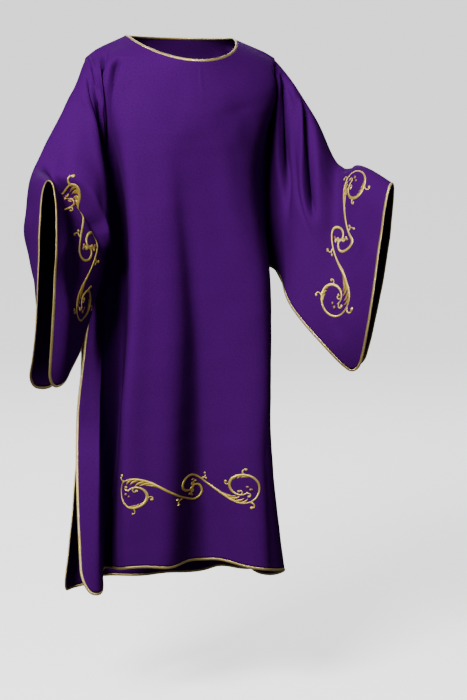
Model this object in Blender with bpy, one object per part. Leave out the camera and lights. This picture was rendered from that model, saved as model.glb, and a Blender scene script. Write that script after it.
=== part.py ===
"""Dalmatic worn open over an alb: front, back, two wide sleeves and the braid that binds every edge.

Metres, +Z up, the front faces -Y and the wearer's left is +X. The origin is the middle of the neck
opening, level with the side of the neck. Each panel is a smooth sheet drawn through a short table:
a body panel has one row for each line that runs from the neckline down to the hem, a sleeve has one
row for each station from the armhole to the cuff. The sheet is then given its wall.
"""

import bpy
import numpy as np

for thing in list(bpy.data.objects):
    bpy.data.objects.remove(thing, do_unlink=True)

CLOTH_COLOUR = (0.085, 0.012, 0.235)
BRAID_COLOUR = (0.53, 0.38, 0.14)

# Sizes of the cloth and the braid
WALL = 0.0016
SEAM_GAP = 0.0003
BRAID_WIDTH = 0.0066
BRAID_THICK = 0.0036
HEM_CORNER = 0.040
CUFF_CORNER = 0.030

# Neck opening, a half ellipse in front and a shallower one behind
NECK_HALF_WIDTH = 0.135
NECK_FRONT = 0.146
NECK_BACK = 0.080
NECK_DROP_FRONT = 0.053
NECK_DROP_BACK = 0.006
# The wearer's right shoulder sits a little higher than the left one
SHOULDER_RISE = 0.009

# Levels down the body: share of the cloth's length, and height where a whole level shares one
NECK, YOKE, CHEST, UNDERARM, THIGH, HEM = 0.0, 0.076, 0.235, 0.458, 0.727, 1.0
LEVELS = (NECK, YOKE, CHEST, UNDERARM, THIGH, HEM)
CHEST_Z, UNDERARM_Z, FRONT_THIGH_Z, BACK_THIGH_Z = -0.250, -0.530, -0.890, -0.905

# Front, from the wearer's right slit (-1) to the left one (1)
FRONT_LINES = (
    # across, yoke x, y, z, chest x, y, underarm x, y, thigh x, y, hem x, y, z
    (-1.00, -0.232, -0.005, -0.040, -0.216, -0.012, -0.219, 0.000, -0.276, -0.070, -0.282, -0.118, -1.278),
    (-0.91, -0.219, -0.040, -0.052, -0.204, -0.037, -0.203, -0.022, -0.229, -0.095, -0.256, -0.118, -1.288),
    (-0.65, -0.205, -0.078, -0.070, -0.198, -0.077, -0.187, -0.058, -0.174, -0.016, -0.200, -0.004, -1.262),
    (-0.51, -0.183, -0.103, -0.087, -0.197, -0.105, -0.178, -0.100, -0.191, -0.085, -0.181, -0.045, -1.253),
    (-0.38, -0.146, -0.129, -0.100, -0.180, -0.145, -0.167, -0.145, -0.179, -0.135, -0.170, -0.105, -1.240),
    (-0.26, -0.102, -0.149, -0.112, -0.138, -0.166, -0.133, -0.168, -0.139, -0.158, -0.122, -0.135, -1.235),
    (-0.13, -0.060, -0.160, -0.124, -0.098, -0.174, -0.090, -0.170, -0.089, -0.152, -0.069, -0.125, -1.239),
    (-0.01, -0.024, -0.165, -0.131, -0.062, -0.176, -0.055, -0.165, -0.044, -0.128, -0.025, -0.088, -1.238),
    (0.10, 0.018, -0.165, -0.131, -0.021, -0.177, -0.015, -0.170, -0.005, -0.124, 0.025, -0.068, -1.242),
    (0.24, 0.066, -0.159, -0.122, 0.030, -0.170, 0.038, -0.175, 0.043, -0.152, 0.069, -0.088, -1.243),
    (0.40, 0.125, -0.140, -0.105, 0.089, -0.148, 0.101, -0.150, 0.103, -0.160, 0.118, -0.132, -1.252),
    (0.54, 0.170, -0.114, -0.093, 0.139, -0.112, 0.146, -0.115, 0.155, -0.132, 0.167, -0.145, -1.260),
    (0.68, 0.197, -0.086, -0.077, 0.173, -0.075, 0.181, -0.072, 0.193, -0.092, 0.212, -0.112, -1.272),
    (0.80, 0.211, -0.060, -0.062, 0.193, -0.048, 0.203, -0.040, 0.217, -0.052, 0.245, -0.062, -1.285),
    (0.91, 0.221, -0.034, -0.050, 0.206, -0.030, 0.213, -0.018, 0.219, -0.004, 0.238, -0.008, -1.308),
    (1.00, 0.232, -0.005, -0.040, 0.216, -0.012, 0.219, 0.000, 0.205, 0.030, 0.190, 0.052, -1.332),
)

# Back, from the wearer's right slit (-1) to the left one (1)
BACK_LINES = (
    # across, yoke x, y, z, chest x, y, underarm x, y, thigh x, y, hem x, y, z
    (-1.00, -0.232, -0.005, -0.040, -0.219, 0.056, -0.224, 0.046, -0.250, 0.020, -0.284, 0.022, -1.300),
    (-0.86, -0.218, 0.038, -0.052, -0.203, 0.090, -0.208, 0.085, -0.226, 0.072, -0.252, 0.078, -1.312),
    (-0.72, -0.194, 0.067, -0.056, -0.172, 0.117, -0.182, 0.110, -0.184, 0.098, -0.196, 0.080, -1.312),
    (-0.54, -0.153, 0.091, -0.060, -0.128, 0.135, -0.138, 0.140, -0.150, 0.152, -0.158, 0.162, -1.318),
    (-0.26, -0.073, 0.110, -0.064, -0.062, 0.141, -0.068, 0.135, -0.072, 0.128, -0.076, 0.124, -1.316),
    (0.00, 0.000, 0.116, -0.066, 0.000, 0.137, 0.004, 0.131, 0.010, 0.142, 0.014, 0.156, -1.322),
    (0.26, 0.073, 0.110, -0.064, 0.062, 0.141, 0.072, 0.139, 0.086, 0.140, 0.096, 0.134, -1.318),
    (0.54, 0.153, 0.091, -0.060, 0.128, 0.135, 0.140, 0.136, 0.156, 0.150, 0.168, 0.160, -1.318),
    (0.72, 0.194, 0.067, -0.056, 0.172, 0.117, 0.182, 0.110, 0.196, 0.102, 0.214, 0.096, -1.314),
    (0.86, 0.218, 0.038, -0.052, 0.203, 0.090, 0.208, 0.085, 0.228, 0.098, 0.250, 0.112, -1.312),
    (1.00, 0.232, -0.005, -0.040, 0.219, 0.056, 0.224, 0.046, 0.240, 0.075, 0.262, 0.080, -1.306),
)

# Side edges of the body panels, from the shoulder point down, with x counted out from the middle
EDGES = {
    "front_left": (
        # down, x, y, z
        (YOKE, 0.232, -0.005, -0.040),
        (0.100, 0.221, -0.033, -0.060),
        (0.140, 0.211, -0.047, -0.107),
        (0.190, 0.210, -0.038, -0.176),
        (CHEST, 0.214, -0.020, -0.250),
        (0.320, 0.218, -0.004, -0.358),
        (0.400, 0.220, 0.002, -0.463),
        (UNDERARM, 0.219, 0.002, -0.537),
    ),
    "front_right": (
        (YOKE, 0.232, -0.005, -0.040),
        (0.100, 0.236, -0.038, -0.056),
        (0.140, 0.237, -0.064, -0.103),
        (0.190, 0.226, -0.056, -0.172),
        (CHEST, 0.216, -0.032, -0.250),
        (0.320, 0.216, -0.010, -0.358),
        (0.400, 0.219, 0.000, -0.463),
        (UNDERARM, 0.219, 0.002, -0.537),
        (0.530, 0.222, 0.010, -0.636),
        (0.600, 0.240, -0.012, -0.724),
    ),
    "back": (
        (YOKE, 0.232, -0.005, -0.040),
        (0.100, 0.227, 0.027, -0.064),
        (0.140, 0.220, 0.050, -0.112),
        (0.190, 0.219, 0.060, -0.180),
        (CHEST, 0.222, 0.060, -0.250),
        (0.320, 0.225, 0.054, -0.358),
        (0.400, 0.225, 0.050, -0.463),
        (UNDERARM, 0.224, 0.045, -0.537),
    ),
}
EDGE_REACH = 0.36
EDGE_FADE = 0.12

# Sleeves, from the armhole (0) to the cuff (1), with x counted out from the middle on both sides
SLEEVE_LEFT = (
    # along, ridge x, y, z, front over x, y, low x, y, end x, y, z, back over x, y, low x, y, end x, y, z
    (0.00, 0.232, -0.005, -0.040, 0.224, -0.064, 0.222, 0.000, 0.219, 0.002, -0.537,
     0.239, 0.045, 0.228, 0.050, 0.224, 0.045, -0.537),
    (0.06, 0.244, -0.020, -0.062, 0.229, -0.078, 0.226, -0.030, 0.230, -0.020, -0.546,
     0.256, 0.029, 0.244, 0.052, 0.237, 0.042, -0.539),
    (0.15, 0.262, -0.040, -0.092, 0.241, -0.096, 0.236, -0.090, 0.235, -0.055, -0.564,
     0.280, 0.009, 0.276, 0.042, 0.252, 0.036, -0.549),
    (0.32, 0.291, -0.056, -0.142, 0.264, -0.109, 0.262, -0.155, 0.229, -0.118, -0.606,
     0.316, -0.008, 0.320, 0.015, 0.276, 0.018, -0.600),
    (0.50, 0.331, -0.070, -0.214, 0.301, -0.122, 0.300, -0.205, 0.256, -0.162, -0.663,
     0.358, -0.023, 0.366, -0.030, 0.303, -0.014, -0.656),
    (0.70, 0.371, -0.094, -0.300, 0.336, -0.145, 0.331, -0.250, 0.299, -0.190, -0.719,
     0.399, -0.053, 0.408, -0.085, 0.339, -0.064, -0.720),
    (0.84, 0.392, -0.160, -0.296, 0.350, -0.215, 0.346, -0.300, 0.335, -0.200, -0.759,
     0.419, -0.123, 0.420, -0.160, 0.371, -0.110, -0.761),
    (1.00, 0.434, -0.262, -0.331, 0.384, -0.321, 0.366, -0.345, 0.372, -0.206, -0.788,
     0.462, -0.227, 0.422, -0.255, 0.405, -0.155, -0.782),
)
SLEEVE_RIGHT = (
    # along, ridge x, y, z, front over x, y, low x, y, end x, y, z, back over x, y, low x, y, end x, y, z
    (0.00, 0.232, -0.005, -0.040, 0.232, -0.072, 0.222, 0.000, 0.219, 0.002, -0.537,
     0.239, 0.045, 0.228, 0.050, 0.224, 0.045, -0.537),
    (0.06, 0.246, -0.018, -0.060, 0.240, -0.085, 0.200, -0.060, 0.227, -0.014, -0.556,
     0.256, 0.029, 0.246, 0.055, 0.244, 0.047, -0.547),
    (0.15, 0.264, -0.036, -0.090, 0.250, -0.098, 0.180, -0.175, 0.237, -0.040, -0.592,
     0.274, 0.010, 0.276, 0.045, 0.261, 0.041, -0.574),
    (0.32, 0.293, -0.054, -0.140, 0.268, -0.108, 0.204, -0.235, 0.260, -0.082, -0.662,
     0.306, -0.007, 0.318, 0.015, 0.281, 0.016, -0.664),
    (0.50, 0.331, -0.070, -0.210, 0.303, -0.122, 0.272, -0.262, 0.290, -0.138, -0.708,
     0.350, -0.023, 0.366, -0.025, 0.295, -0.040, -0.748),
    (0.70, 0.370, -0.096, -0.288, 0.338, -0.150, 0.326, -0.298, 0.326, -0.180, -0.750,
     0.412, -0.058, 0.400, -0.085, 0.332, -0.088, -0.783),
    (0.84, 0.384, -0.176, -0.300, 0.346, -0.245, 0.360, -0.318, 0.350, -0.200, -0.772,
     0.442, -0.138, 0.398, -0.165, 0.366, -0.122, -0.793),
    (1.00, 0.396, -0.276, -0.306, 0.385, -0.366, 0.395, -0.302, 0.384, -0.214, -0.786,
     0.424, -0.232, 0.406, -0.268, 0.416, -0.152, -0.786),
)

# Folds too narrow for the tables above: four places along each, from its start to its end, then its
# width and its height in metres (a trough is below 0) and how far one side laps over the other
FRONT_FOLDS = (
    # across, down (four times), width, height, lap
    (-0.80, 0.030, -0.76, 0.070, -0.76, 0.130, -0.79, 0.210, 0.014, -0.006, 0.0),
    (-0.45, 0.020, -0.51, 0.076, -0.52, 0.160, -0.54, 0.360, 0.019, -0.018, 0.0),
    (0.28, 0.100, 0.40, 0.160, 0.49, 0.230, 0.54, 0.330, 0.030, -0.007, 0.0),
    (0.38, 0.180, 0.43, 0.330, 0.46, 0.520, 0.47, 0.760, 0.034, -0.010, 0.0),
)
BACK_FOLDS = (
    (-0.62, 0.020, -0.66, 0.080, -0.70, 0.170, -0.74, 0.360, 0.020, -0.016, 0.0),
    (-0.88, 0.035, -0.84, 0.080, -0.85, 0.130, -0.90, 0.210, 0.013, -0.010, 0.0),
    (0.64, 0.020, 0.68, 0.085, 0.71, 0.180, 0.76, 0.400, 0.022, -0.017, 0.0),
    (-0.10, 0.160, -0.14, 0.300, -0.15, 0.480, -0.16, 0.720, 0.036, -0.012, 0.0),
    (0.36, 0.150, 0.40, 0.280, 0.42, 0.450, 0.42, 0.640, 0.030, -0.011, 0.0),
)
SLEEVE_LEFT_FOLDS = (
    # along, around (four times), width, height, lap
    (0.14, -0.02, 0.20, -0.20, 0.22, -0.38, 0.20, -0.62, 0.016, -0.014, 0.0),
    (0.40, -0.04, 0.37, -0.22, 0.38, -0.40, 0.48, -0.58, 0.018, -0.015, 0.0),
    (0.74, 0.12, 0.76, 0.02, 0.76, -0.08, 0.70, -0.18, 0.012, -0.016, 0.0),
    (0.98, -0.22, 0.84, -0.34, 0.72, -0.40, 0.58, -0.42, 0.030, -0.012, 0.0),
    (0.34, 0.04, 0.32, 0.24, 0.34, 0.42, 0.42, 0.60, 0.020, -0.014, 0.0),
    (0.90, 0.20, 0.80, 0.34, 0.68, 0.40, 0.54, 0.42, 0.030, -0.010, 0.0),
)
SLEEVE_RIGHT_FOLDS = (
    (0.72, -0.14, 0.57, -0.35, 0.42, -0.54, 0.19, -0.77, 0.026, -0.004, 0.050),
    (0.96, -0.48, 0.84, -0.60, 0.70, -0.66, 0.54, -0.66, 0.034, -0.011, 0.0),
    (0.16, 0.03, 0.20, 0.20, 0.22, 0.36, 0.22, 0.58, 0.018, -0.014, 0.0),
    (0.44, 0.05, 0.42, 0.24, 0.44, 0.42, 0.52, 0.58, 0.020, -0.014, 0.0),
)
BODY_SIZE = (0.40, 1.32)
SLEEVE_SIZE = (0.37, 0.49)


def weights(knots, at):
    """Share of each knot's value in the natural cubic spline at each place: value(at) = weights @ values."""
    knots = np.asarray(knots, float)
    at = np.asarray(at, float)
    count = len(knots)
    step = np.diff(knots)
    bend = np.eye(count)
    pull = np.zeros((count, count))
    for i in range(1, count - 1):
        bend[i, i - 1:i + 2] = step[i - 1], 2 * (step[i - 1] + step[i]), step[i]
        pull[i, i - 1:i + 2] = 6 / step[i - 1], -6 / step[i - 1] - 6 / step[i], 6 / step[i]
    second = np.linalg.solve(bend, pull)
    unit = np.eye(count)
    k = np.clip(np.searchsorted(knots, at, side="right") - 1, 0, count - 2)
    width = step[k][..., None]
    near = (at - knots[k])[..., None]
    far = (knots[k + 1] - at)[..., None]
    return (
        (second[k] * far**3 + second[k + 1] * near**3) / (6 * width)
        + (unit[k] / width - second[k] * width / 6) * far
        + (unit[k + 1] / width - second[k + 1] * width / 6) * near
    )


def smooth_step(x):
    x = np.clip(x, 0, 1)
    return x * x * (3 - 2 * x)


def fold_lift(folds, across, down, size):
    """How far folds move a sheet outward at each place; size is the cloth's width and length per unit."""
    lift = np.zeros(np.shape(across))
    scale = np.array(size)
    here = np.stack([across, down], axis=-1) * scale
    for a0, d0, a1, d1, a2, d2, a3, d3, width, height, lap in folds:
        ends = np.array([[a0, d0], [a1, d1], [a2, d2], [a3, d3]]) * scale
        t = np.linspace(0, 1, 41)
        line = weights([0, 1 / 3, 2 / 3, 1], t) @ ends
        run = unit(np.gradient(line, axis=0))
        near = np.argmin(((here[..., None, :] - line) ** 2).sum(-1), axis=-1)
        gap = here - line[near]
        ahead = (gap * run[near]).sum(-1) / width
        beside = (gap[..., 0] * run[near][..., 1] - gap[..., 1] * run[near][..., 0]) / width
        strength = np.sin(np.pi * np.clip(t[near], 0.0, 1)) ** 0.7
        lift += strength * np.exp(-beside**2 - ahead**2) * (height + lap * beside)
    return lift


def neckline(across, front):
    """Edge of the neck opening at each place across a body panel."""
    angle = np.radians(90) * np.asarray(across)
    depth, drop = (-NECK_FRONT, NECK_DROP_FRONT) if front else (NECK_BACK, NECK_DROP_BACK)
    rise = SHOULDER_RISE * (1 - np.sin(angle)) / 2
    height = rise - drop * np.cos(angle) ** 1.3
    return np.stack([NECK_HALF_WIDTH * np.sin(angle), depth * np.cos(angle), height], axis=-1)


def side_edge(down, side, front):
    """Side edge of a body panel, along the shoulder seam and then round the armhole."""
    rows = np.array(EDGES["back" if not front else "front_left" if side > 0 else "front_right"])
    rows[:, 1] *= side
    rows[:, 3] += SHOULDER_RISE * (side < 0) * (1 - smooth_step((rows[:, 0] - YOKE) / (CHEST - YOKE)))
    neck = neckline(side, front)
    point = rows[0, 1:]
    down = np.asarray(down, float)
    shoulder = neck + (point - neck) * (down / YOKE)[..., None]
    armhole = weights(rows[:, 0], np.clip(down, YOKE, rows[-1, 0])) @ rows[:, 1:]
    return np.where((down < YOKE)[..., None], shoulder, armhole), rows[-1, 0]


def body_sheet(front, across, down):
    """Middle of a body panel's cloth at places across (-1 to 1) and down (0 to 1)."""
    rows = np.array(FRONT_LINES if front else BACK_LINES)
    thigh_z = FRONT_THIGH_Z if front else BACK_THIGH_Z
    net = np.zeros((len(rows), len(LEVELS), 3))
    net[:, 0] = neckline(rows[:, 0], front)
    net[:, 1] = rows[:, 1:4]
    net[:, 1, 2] += SHOULDER_RISE * smooth_step(-rows[:, 0] / 0.6)
    net[:, 2, :2], net[:, 2, 2] = rows[:, 4:6], CHEST_Z
    net[:, 3, :2], net[:, 3, 2] = rows[:, 6:8], UNDERARM_Z
    net[:, 4, :2], net[:, 4, 2] = rows[:, 8:10], thigh_z
    net[:, 5] = rows[:, 10:13]

    def through_net(u, v):
        return np.einsum("...i,...j,ijk->...k", weights(rows[:, 0], u), weights(LEVELS, v), net)

    sheet = through_net(across, down)
    for side in (-1, 1):
        edge, last = side_edge(down, side, front)
        shift = edge - through_net(np.full_like(down, side), np.minimum(down, last))
        fade = 1 - smooth_step((down - last) / EDGE_FADE)
        near = smooth_step((side * across - 1 + EDGE_REACH) / EDGE_REACH) * fade
        sheet = sheet + shift * near[..., None]
    return sheet


def sleeve_sheet(side, along, around):
    """Middle of a sleeve's cloth, from the front lower edge (-1) over the arm (0) to the back one (1)."""
    rows = np.array(SLEEVE_LEFT if side > 0 else SLEEVE_RIGHT)
    at = weights(rows[:, 0], along)
    rows[:, 3] += SHOULDER_RISE * (side < 0) * (1 - rows[:, 0])
    ridge, top = rows[:, 1:4], rows[:, 3]

    def half(over, low, end):
        first = at @ np.column_stack([over, top])
        third = at @ np.column_stack([low, end[:, 2] + 0.42 * (top - end[:, 2])])
        t = np.abs(around)[..., None]
        s = 1 - t
        return s**3 * (at @ ridge) + 3 * s**2 * t * first + 3 * s * t**2 * third + t**3 * (at @ end)

    front = half(rows[:, 4:6], rows[:, 6:8], rows[:, 8:11])
    back = half(rows[:, 11:13], rows[:, 13:15], rows[:, 15:18])
    sheet = np.where((around < 0)[..., None], front, back)
    return sheet * np.array([side, 1, 1])


def armhole_loop(side, around):
    """The armhole as the sleeve meets it, from the underarm up the front and down the back."""
    down = YOKE + (UNDERARM - YOKE) * np.abs(around)
    return np.where((around < 0)[..., None], side_edge(down, side, True)[0], side_edge(down, side, False)[0])


def sleeve(side, along, around):
    """Sleeve sheet drawn in to the armhole."""
    sheet = sleeve_sheet(side, along, around)
    start = sleeve_sheet(side, np.zeros_like(along), around)
    near = 1 - smooth_step(along / 0.30)
    return sheet + (armhole_loop(side, around) - start) * near[..., None]


def corner_cut(distance, radius):
    """How far a rounded corner draws the end back, at a distance from the side edge."""
    x = np.clip(1 - distance / radius, 0, 1)
    return radius * (1 - np.sqrt(1 - x * x))


def eased(corner, count):
    """Places from 0 to corner, close together at the edge, so that a rounded corner is even."""
    return corner * (1 - np.cos(np.linspace(0, np.pi / 2, count)))


def body_grid(front, columns, rows):
    """Places across and down for a body panel with rounded hem corners."""
    corner = HEM_CORNER / BODY_SIZE[0]
    edge = eased(corner, 5)
    middle = np.linspace(-1 + corner, 1 - corner, columns - 8)
    across = np.concatenate([-1 + edge[:-1], middle, 1 - edge[-2::-1]])
    u, v = np.meshgrid(across, rows)
    cut = corner_cut((1 - np.abs(u)) * BODY_SIZE[0], HEM_CORNER) / BODY_SIZE[1]
    start = 0.80
    low = np.clip((v - start) / (HEM - start), 0, 1)
    return u, v - cut * low


def sleeve_grid(columns, rows):
    """Places along and around for a sleeve with rounded cuff corners."""
    corner = CUFF_CORNER / SLEEVE_SIZE[0]
    edge = eased(corner, 5)
    along = np.concatenate([columns, 1 - edge[::-1]])
    a, b = np.meshgrid(along, rows)
    cut = corner_cut((1 - a) * SLEEVE_SIZE[0], CUFF_CORNER) / SLEEVE_SIZE[1]
    return a, b * (1 - cut)


def unit(vectors):
    return vectors / np.linalg.norm(vectors, axis=-1, keepdims=True)


def normals(sheet):
    """Normals of a sheet whose columns run with the wearer's left and whose rows run down."""
    return unit(np.cross(np.gradient(sheet, axis=0), np.gradient(sheet, axis=1)))


def add_object(name, verts, faces, colour, metal, rough):
    mesh = bpy.data.meshes.new(name)
    mesh.from_pydata([tuple(map(float, v)) for v in verts], [], [tuple(map(int, f)) for f in faces])
    mesh.validate()
    thing = bpy.data.objects.new(name, mesh)
    bpy.context.scene.collection.objects.link(thing)
    material = bpy.data.materials.new(name + "_material")
    material.use_nodes = True
    shader = material.node_tree.nodes["Principled BSDF"]
    shader.inputs["Base Color"].default_value = (*colour, 1)
    shader.inputs["Metallic"].default_value = metal
    shader.inputs["Roughness"].default_value = rough
    mesh.materials.append(material)
    for face in mesh.polygons:
        face.use_smooth = True
    return thing


def add_wall(name, sheet, wall, flip):
    """A panel: the sheet given its wall along the wall directions, closed all round its edge."""
    outer, inner = sheet + wall * WALL / 2, sheet - wall * WALL / 2
    for place, point, side in seam_sides[name]:
        for face in (outer, inner):
            face[place] += side * max(SEAM_GAP * 0.6 - float((face[place] - point) @ side), 0)
    rows, columns = sheet.shape[:2]
    verts = np.concatenate([outer.reshape(-1, 3), inner.reshape(-1, 3)])
    index = np.arange(rows * columns).reshape(rows, columns)
    corners = index[:-1, :-1], index[1:, :-1], index[1:, 1:], index[:-1, 1:]
    a, b, c, d = (corner.ravel() for corner in corners)
    place = sheet.reshape(-1, 3)
    short = np.linalg.norm(place[a] - place[c], axis=1) < np.linalg.norm(place[b] - place[d], axis=1)
    over = np.concatenate([
        np.where(short[:, None], np.stack([a, b, c], axis=1), np.stack([a, b, d], axis=1)),
        np.where(short[:, None], np.stack([a, c, d], axis=1), np.stack([b, c, d], axis=1)),
    ])
    ring = np.concatenate([index[0, :-1], index[:-1, -1], index[-1, :0:-1], index[:0:-1, 0]])
    after = np.roll(ring, -1)
    rim = np.stack([ring, after, after + rows * columns, ring + rows * columns], axis=-1)
    faces = [*over, *(over[:, ::-1] + rows * columns), *rim]
    if flip:
        faces = [face[::-1] for face in faces]
    return add_object(name, verts, faces, CLOTH_COLOUR, 0.0, 0.7)


def add_braid(name, path, normal, outward, closed):
    """Braid of a flat, rounded section laid against an edge of the cloth, in line with its wall."""
    half, thick = BRAID_WIDTH / 2, BRAID_THICK / 2
    centre = path + outward * (half + SEAM_GAP)
    section = ((-1.0, 0.0), (-0.55, 1.0), (0.55, 1.0), (1.0, 0.0), (0.55, -1.0), (-0.55, -1.0))
    rings = np.stack([centre + outward * x * half + normal * z * thick for x, z in section], axis=1)
    count, sides = rings.shape[:2]
    verts = rings.reshape(-1, 3)
    faces = []
    for i in range(count if closed else count - 1):
        j = (i + 1) % count
        for k in range(sides):
            m = (k + 1) % sides
            faces.append((i * sides + k, i * sides + m, j * sides + m, j * sides + k))
    if not closed:
        faces.append(tuple(range(sides))[::-1])
        faces.append(tuple(range((count - 1) * sides, count * sides)))
    if np.dot(np.cross(outward[0], normal[0]), path[1] - path[0]) > 0:
        faces = [face[::-1] for face in faces]
    return add_object(name, verts, faces, BRAID_COLOUR, 0.6, 0.45)


# Rows that the sleeve shares with the armhole, as shares of the way from the shoulder to the underarm
ROUND_ARM = np.array([0, 0.03, 0.07, 0.12, 0.18, 0.25, 0.33, 0.42, 0.52, 0.62, 0.72, 0.82, 0.91, 1.0])
SHOULDER_ROW = 4
BRAID_START = UNDERARM + 0.0110
SEAM_COLUMNS = 3
BRAID_SETBACK = 0.9
POINT_GAP = 0.0012
BODY_ROWS = np.concatenate([
    np.linspace(NECK, YOKE, SHOULDER_ROW + 1)[:-1], YOKE + (UNDERARM - YOKE) * ROUND_ARM,
    np.linspace(BRAID_START, HEM, 14),
])
SLEEVE_ROWS = np.concatenate([-ROUND_ARM[:0:-1], ROUND_ARM])
SLEEVE_COLUMNS = np.array([0, 0.025, 0.06, 0.10, 0.15, 0.20, 0.26, 0.32, 0.40, 0.48, 0.56, 0.64, 0.71, 0.78, 0.85])
FRONT_COLUMNS, BACK_COLUMNS = 38, 30


def body_panel(front):
    """Cloth of a body panel with its folds, and the directions its wall is given in."""
    u, v = body_grid(front, FRONT_COLUMNS if front else BACK_COLUMNS, BODY_ROWS)
    sheet = body_sheet(front, u, v)
    turn = 1 if front else -1
    lift = fold_lift(FRONT_FOLDS if front else BACK_FOLDS, u, v, BODY_SIZE)
    sheet += normals(sheet) * turn * (lift * smooth_step((1 - np.abs(u)) / 0.06))[..., None]
    return sheet, normals(sheet) * turn


def sleeve_panel(side):
    """Cloth of a sleeve with its folds, and the directions its wall is given in."""
    a, b = sleeve_grid(SLEEVE_COLUMNS, SLEEVE_ROWS)
    sheet = sleeve(side, a, b)
    lift = fold_lift(SLEEVE_LEFT_FOLDS if side > 0 else SLEEVE_RIGHT_FOLDS, a, b, SLEEVE_SIZE)
    sheet += normals(sheet) * -side * (lift * smooth_step(a / 0.08))[..., None]
    return sheet, normals(sheet) * -side


def join(members, run, gap):
    """Part the panels that meet at one point of a seam, and slant their wall ends to face each other."""
    middle = unit(sum(panels[name][1][edge] for name, edge, step in members))
    middle = unit(middle - (middle @ run) * run)
    found = []
    for name, (row, column), step in members:
        sheet, wall = panels[name]
        inward = sheet[row, column + step] - sheet[row, column]
        inward = inward - (inward @ run) * run
        side = unit(inward - (inward @ middle) * middle)
        reach = max(float(middle @ unit(wall[row, column])), 0.5)
        found.append((side, middle / reach))
        for k in range(1, SEAM_COLUMNS + 1):
            seam_sides[name].append(((row, column + step * k), sheet[row, column].copy(), side))
    for (name, edge, step), (side, slanted) in zip(members, found):
        panels[name][0][edge] += side * gap
        panels[name][1][edge] = slanted


def border(first, last_row, last_column):
    """Grid places down the first column from a row, along the last row and up the last column again."""
    down = [(i, 0) for i in range(first, last_row)]
    along = [(last_row, j) for j in range(last_column)]
    up = [(i, last_column) for i in range(last_row, first - 1, -1)]
    places = np.array(down + along + up)
    inner = places.copy()
    inner[:, 0] = np.clip(inner[:, 0], 0, last_row - 1)
    inner[:, 1] = np.clip(inner[:, 1], 1, last_column - 1)
    return tuple(places.T), tuple(inner.T)


def bind(name, points, beside, away, closed):
    """Braid along the points of an edge, beside the places just inside it."""
    if closed:
        along = unit(np.roll(points, -1, axis=0) - np.roll(points, 1, axis=0))
    else:
        along = unit(np.gradient(points, axis=0))
    outward = unit(points - beside)
    outward = unit(outward - (outward * along).sum(-1, keepdims=True) * along)
    face = unit(np.cross(along, outward))
    face *= np.sign((face * away).sum(-1, keepdims=True))
    add_braid(name, points, face, outward, closed)


panels = {
    "front": body_panel(True),
    "back": body_panel(False),
    "sleeve_right": sleeve_panel(-1),
    "sleeve_left": sleeve_panel(1),
}
seam_sides = {name: [] for name in panels}
OVER_ARM = len(ROUND_ARM) - 1
for arm, edge, step in (("sleeve_right", 0, 1), ("sleeve_left", -1, -1)):
    runs = [unit(np.gradient(panels[name][0][:SHOULDER_ROW + OVER_ARM + 1, edge], axis=0)) for name in ("front", "back")]
    for row in range(SHOULDER_ROW + OVER_ARM + 1):
        k = row - SHOULDER_ROW
        on_front, on_back = ("front", (row, edge), step), ("back", (row, edge), step)
        if k < 0:
            join([on_front, on_back], runs[0][row], SEAM_GAP * 0.55)
        elif k == 0:
            join([on_front, on_back, (arm, (OVER_ARM, 0), 1)], np.zeros(3), POINT_GAP)
        else:
            join([on_front, (arm, (OVER_ARM - k, 0), 1)], runs[0][row], SEAM_GAP * 0.55)
            join([on_back, (arm, (OVER_ARM + k, 0), 1)], runs[1][row], SEAM_GAP * 0.55)

for name, (sheet, wall) in panels.items():
    add_wall(name, sheet, wall, name in ("back", "sleeve_left"))
    if name.startswith("sleeve"):
        sheet, wall, first = sheet.transpose(1, 0, 2), wall.transpose(1, 0, 2), 0
    else:
        first = SHOULDER_ROW + len(ROUND_ARM)
    path, inside = border(first, sheet.shape[0] - 1, sheet.shape[1] - 1)
    points = sheet[path]
    points[[0, -1]] += (points[[1, -2]] - points[[0, -1]]) * BRAID_SETBACK
    bind(name + "_braid", points, sheet[inside], wall[path], False)

ring, inside, wall = (
    np.concatenate([panels["front"][part][row, :-1], panels["back"][part][row, :0:-1]])
    for part, row in ((0, 0), (0, 1), (1, 0))
)
bind("neck_braid", ring, inside, wall, True)
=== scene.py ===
# %% [markdown]
# # A deacon's purple dalmatic
#
# A dalmatic is a wide tunic with wide sleeves, worn over a long white alb. This one is cut from four
# panels: a front, a back and two sleeves. The sides and the undersides of the sleeves stay open, and a
# narrow gold braid binds every edge. Raised gold embroidery lies above the hem and on both sleeves.
#
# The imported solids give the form, in metres, with +Z up, the front facing -Y and the wearer's left at
# +X. Each panel is made again here as a finer shell on the same form, so that its small folds show.

# %% Load the frame
import math

import bmesh
import bpy
import numpy as np
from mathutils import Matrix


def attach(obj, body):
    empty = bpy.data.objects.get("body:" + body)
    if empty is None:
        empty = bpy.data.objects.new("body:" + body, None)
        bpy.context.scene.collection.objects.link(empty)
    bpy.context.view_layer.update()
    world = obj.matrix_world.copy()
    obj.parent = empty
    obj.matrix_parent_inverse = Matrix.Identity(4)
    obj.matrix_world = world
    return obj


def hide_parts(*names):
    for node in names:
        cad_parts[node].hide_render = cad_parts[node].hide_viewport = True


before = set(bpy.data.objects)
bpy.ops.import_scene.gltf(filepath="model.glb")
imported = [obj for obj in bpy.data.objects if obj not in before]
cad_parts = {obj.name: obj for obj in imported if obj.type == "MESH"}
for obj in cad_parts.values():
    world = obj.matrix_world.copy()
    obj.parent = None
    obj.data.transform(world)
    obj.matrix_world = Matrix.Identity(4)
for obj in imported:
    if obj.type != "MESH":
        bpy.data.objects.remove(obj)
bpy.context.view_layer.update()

# %% [markdown]
# ## Camera
#
# The camera stands a little to the wearer's right, 5.8 m away, and looks slightly down. A long lens
# keeps the shoulders and the hem at nearly the same scale, as a portrait lens does in a shop.

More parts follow.
